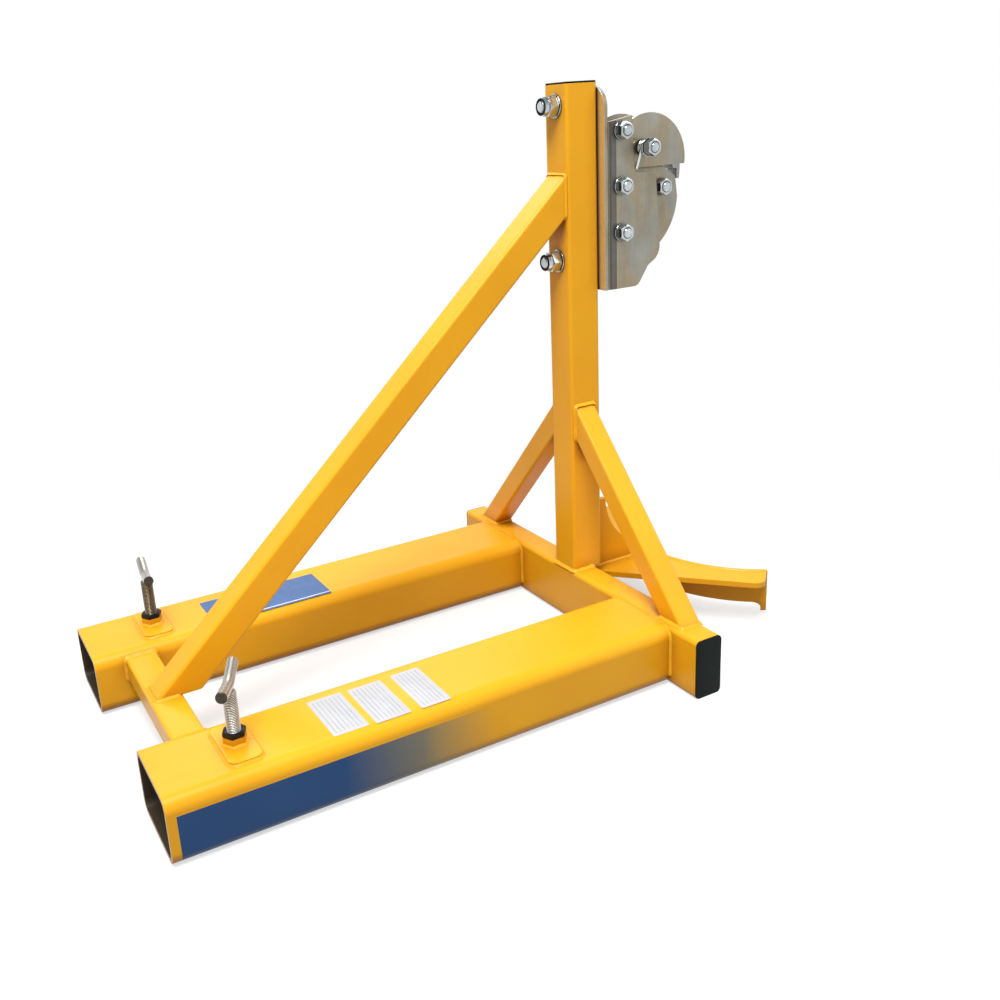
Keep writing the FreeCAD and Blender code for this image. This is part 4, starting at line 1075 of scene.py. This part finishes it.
EYE = Vector((-1034.7, -1428.2, 893.2)) * MM
FLOOR_CENTRE = Vector((-0.3, 0, 0))
FLOOR_GLOW = 0.6        # how much of the floor beside the object glows white by itself
FLOOR_BOUNCE = (0.22, 0.22, 0.22, 1)
LAMP_TARGET = Vector((-0.3, 0, 0.4))


def make_camera():
    """The photograph's view. Its focal length and centre are in pixels of the frame's size."""
    yaw, pitch, roll = (math.radians(angle) for angle in (-26.66, -17.96, -3.86))
    focal, centre_x, centre_y, size = 1040.7, 415.3, 453.5, 1000
    forward = Vector((-math.sin(yaw) * math.cos(pitch), math.cos(yaw) * math.cos(pitch),
                      math.sin(pitch)))
    right = Vector((math.cos(yaw), math.sin(yaw), 0))
    up = right.cross(forward)
    turned_right = right * math.cos(roll) + up * math.sin(roll)
    turned_up = up * math.cos(roll) - right * math.sin(roll)
    data = bpy.data.cameras.new("camera")
    data.sensor_width = 36
    data.lens = focal / size * data.sensor_width
    data.shift_x = (size / 2 - centre_x) / size
    data.shift_y = (centre_y - size / 2) / size
    data.clip_start, data.clip_end = 0.05, 60
    camera = bpy.data.objects.new("camera", data)
    matrix = Matrix((turned_right, turned_up, -forward)).transposed().to_4x4()
    matrix.translation = EYE
    camera.matrix_world = matrix
    bpy.context.scene.collection.objects.link(camera)
    bpy.context.scene.camera = camera


def background_ray(tree):
    """1 for the rays that show the background: the camera's, glossy and transmitted ones."""
    rays = add_node(tree, "ShaderNodeLightPath").outputs
    seen = math_node(tree, "MAXIMUM", rays["Is Camera Ray"], rays["Is Glossy Ray"])
    return math_node(tree, "MAXIMUM", seen, rays["Is Transmission Ray"])


def make_world(strength, ceiling):
    """A white surround, whose light is softer and whose reflection darkens overhead."""
    world = bpy.data.worlds.new("studio")
    bpy.context.scene.world = world
    world.use_nodes = True
    tree = world.node_tree
    tree.nodes.clear()
    way = add_node(tree, "ShaderNodeTexCoord").outputs["Generated"]
    overhead = remap(tree, axes_of(tree, way)["Z"], 0.15, 0.75, 1.0, ceiling)
    rays = add_node(tree, "ShaderNodeLightPath")
    shown = math_node(tree, "MAXIMUM", rays.outputs["Is Camera Ray"], overhead)
    level = remap(tree, background_ray(tree), 0.0, 1.0, strength, shown)
    background = add_node(tree, "ShaderNodeBackground", Color=(1, 1, 1, 1), Strength=level)
    output = tree.nodes.new("ShaderNodeOutputWorld")
    tree.links.new(background.outputs[0], output.inputs[0])


def make_floor():
    half = 12.0
    mesh = bpy.data.meshes.new("floor")
    mesh.from_pydata([(-half, -half, 0), (half, -half, 0), (half, half, 0), (-half, half, 0)],
                     [], [(0, 1, 2, 3)])
    floor = bpy.data.objects.new("floor", mesh)
    bpy.context.scene.collection.objects.link(floor)
    mesh.materials.append(make_floor_paper())


def make_floor_paper():
    """White paper that keeps the object's soft shadow and turns evenly white further out."""
    material, tree, shader = new_material("pale_floor")
    tree.nodes.remove(shader)
    place = coordinates(tree)
    tone = mix_colours(tree, noise_at(tree, place, 2.0), (0.97, 0.97, 0.97, 1), (1, 1, 1, 1))
    shaded = add_node(tree, "ShaderNodeBsdfDiffuse", Color=tone).outputs[0]
    white = add_node(tree, "ShaderNodeEmission", Color=(1, 1, 1, 1), Strength=1.0).outputs[0]
    reach = add_node(tree, "ShaderNodeVectorMath", {"operation": "DISTANCE"}, i0=place,
                     i1=FLOOR_CENTRE).outputs["Value"]
    share = remap(tree, reach, 0.5, 1.6, FLOOR_GLOW, 1.0)
    seen = add_node(tree, "ShaderNodeMixShader", i0=share, i1=shaded, i2=white).outputs[0]
    bounce = add_node(tree, "ShaderNodeBsdfDiffuse", Color=FLOOR_BOUNCE).outputs[0]
    paper = add_node(tree, "ShaderNodeMixShader", i0=background_ray(tree), i1=bounce,
                     i2=seen).outputs[0]
    output = next(node for node in tree.nodes if node.type == "OUTPUT_MATERIAL")
    tree.links.new(paper, output.inputs["Surface"])
    return material


def make_lamp(name, place, size, level):
    """A square softbox; level is the brightness that it adds to a white surface facing it."""
    data = bpy.data.lights.new(name, "AREA")
    offset = LAMP_TARGET - Vector(place)
    data.shape = "SQUARE"
    data.size = size
    data.energy = level * math.pi ** 2 * offset.length_squared
    lamp = bpy.data.objects.new(name, data)
    lamp.location = place
    lamp.rotation_euler = offset.to_track_quat("-Z", "Y").to_euler()
    bpy.context.scene.collection.objects.link(lamp)


make_camera()
make_world(strength=0.45, ceiling=0.45)
make_floor()
make_lamp("key", (-1.35, -1.3, 4.3), size=2.2, level=1.35)
make_lamp("fill", (2.6, -1.8, 2.4), size=2.0, level=0.12)
make_lamp("back", (0.5, 3.0, 3.0), size=2.0, level=0.2)
bpy.context.scene.view_settings.view_transform = "Standard"
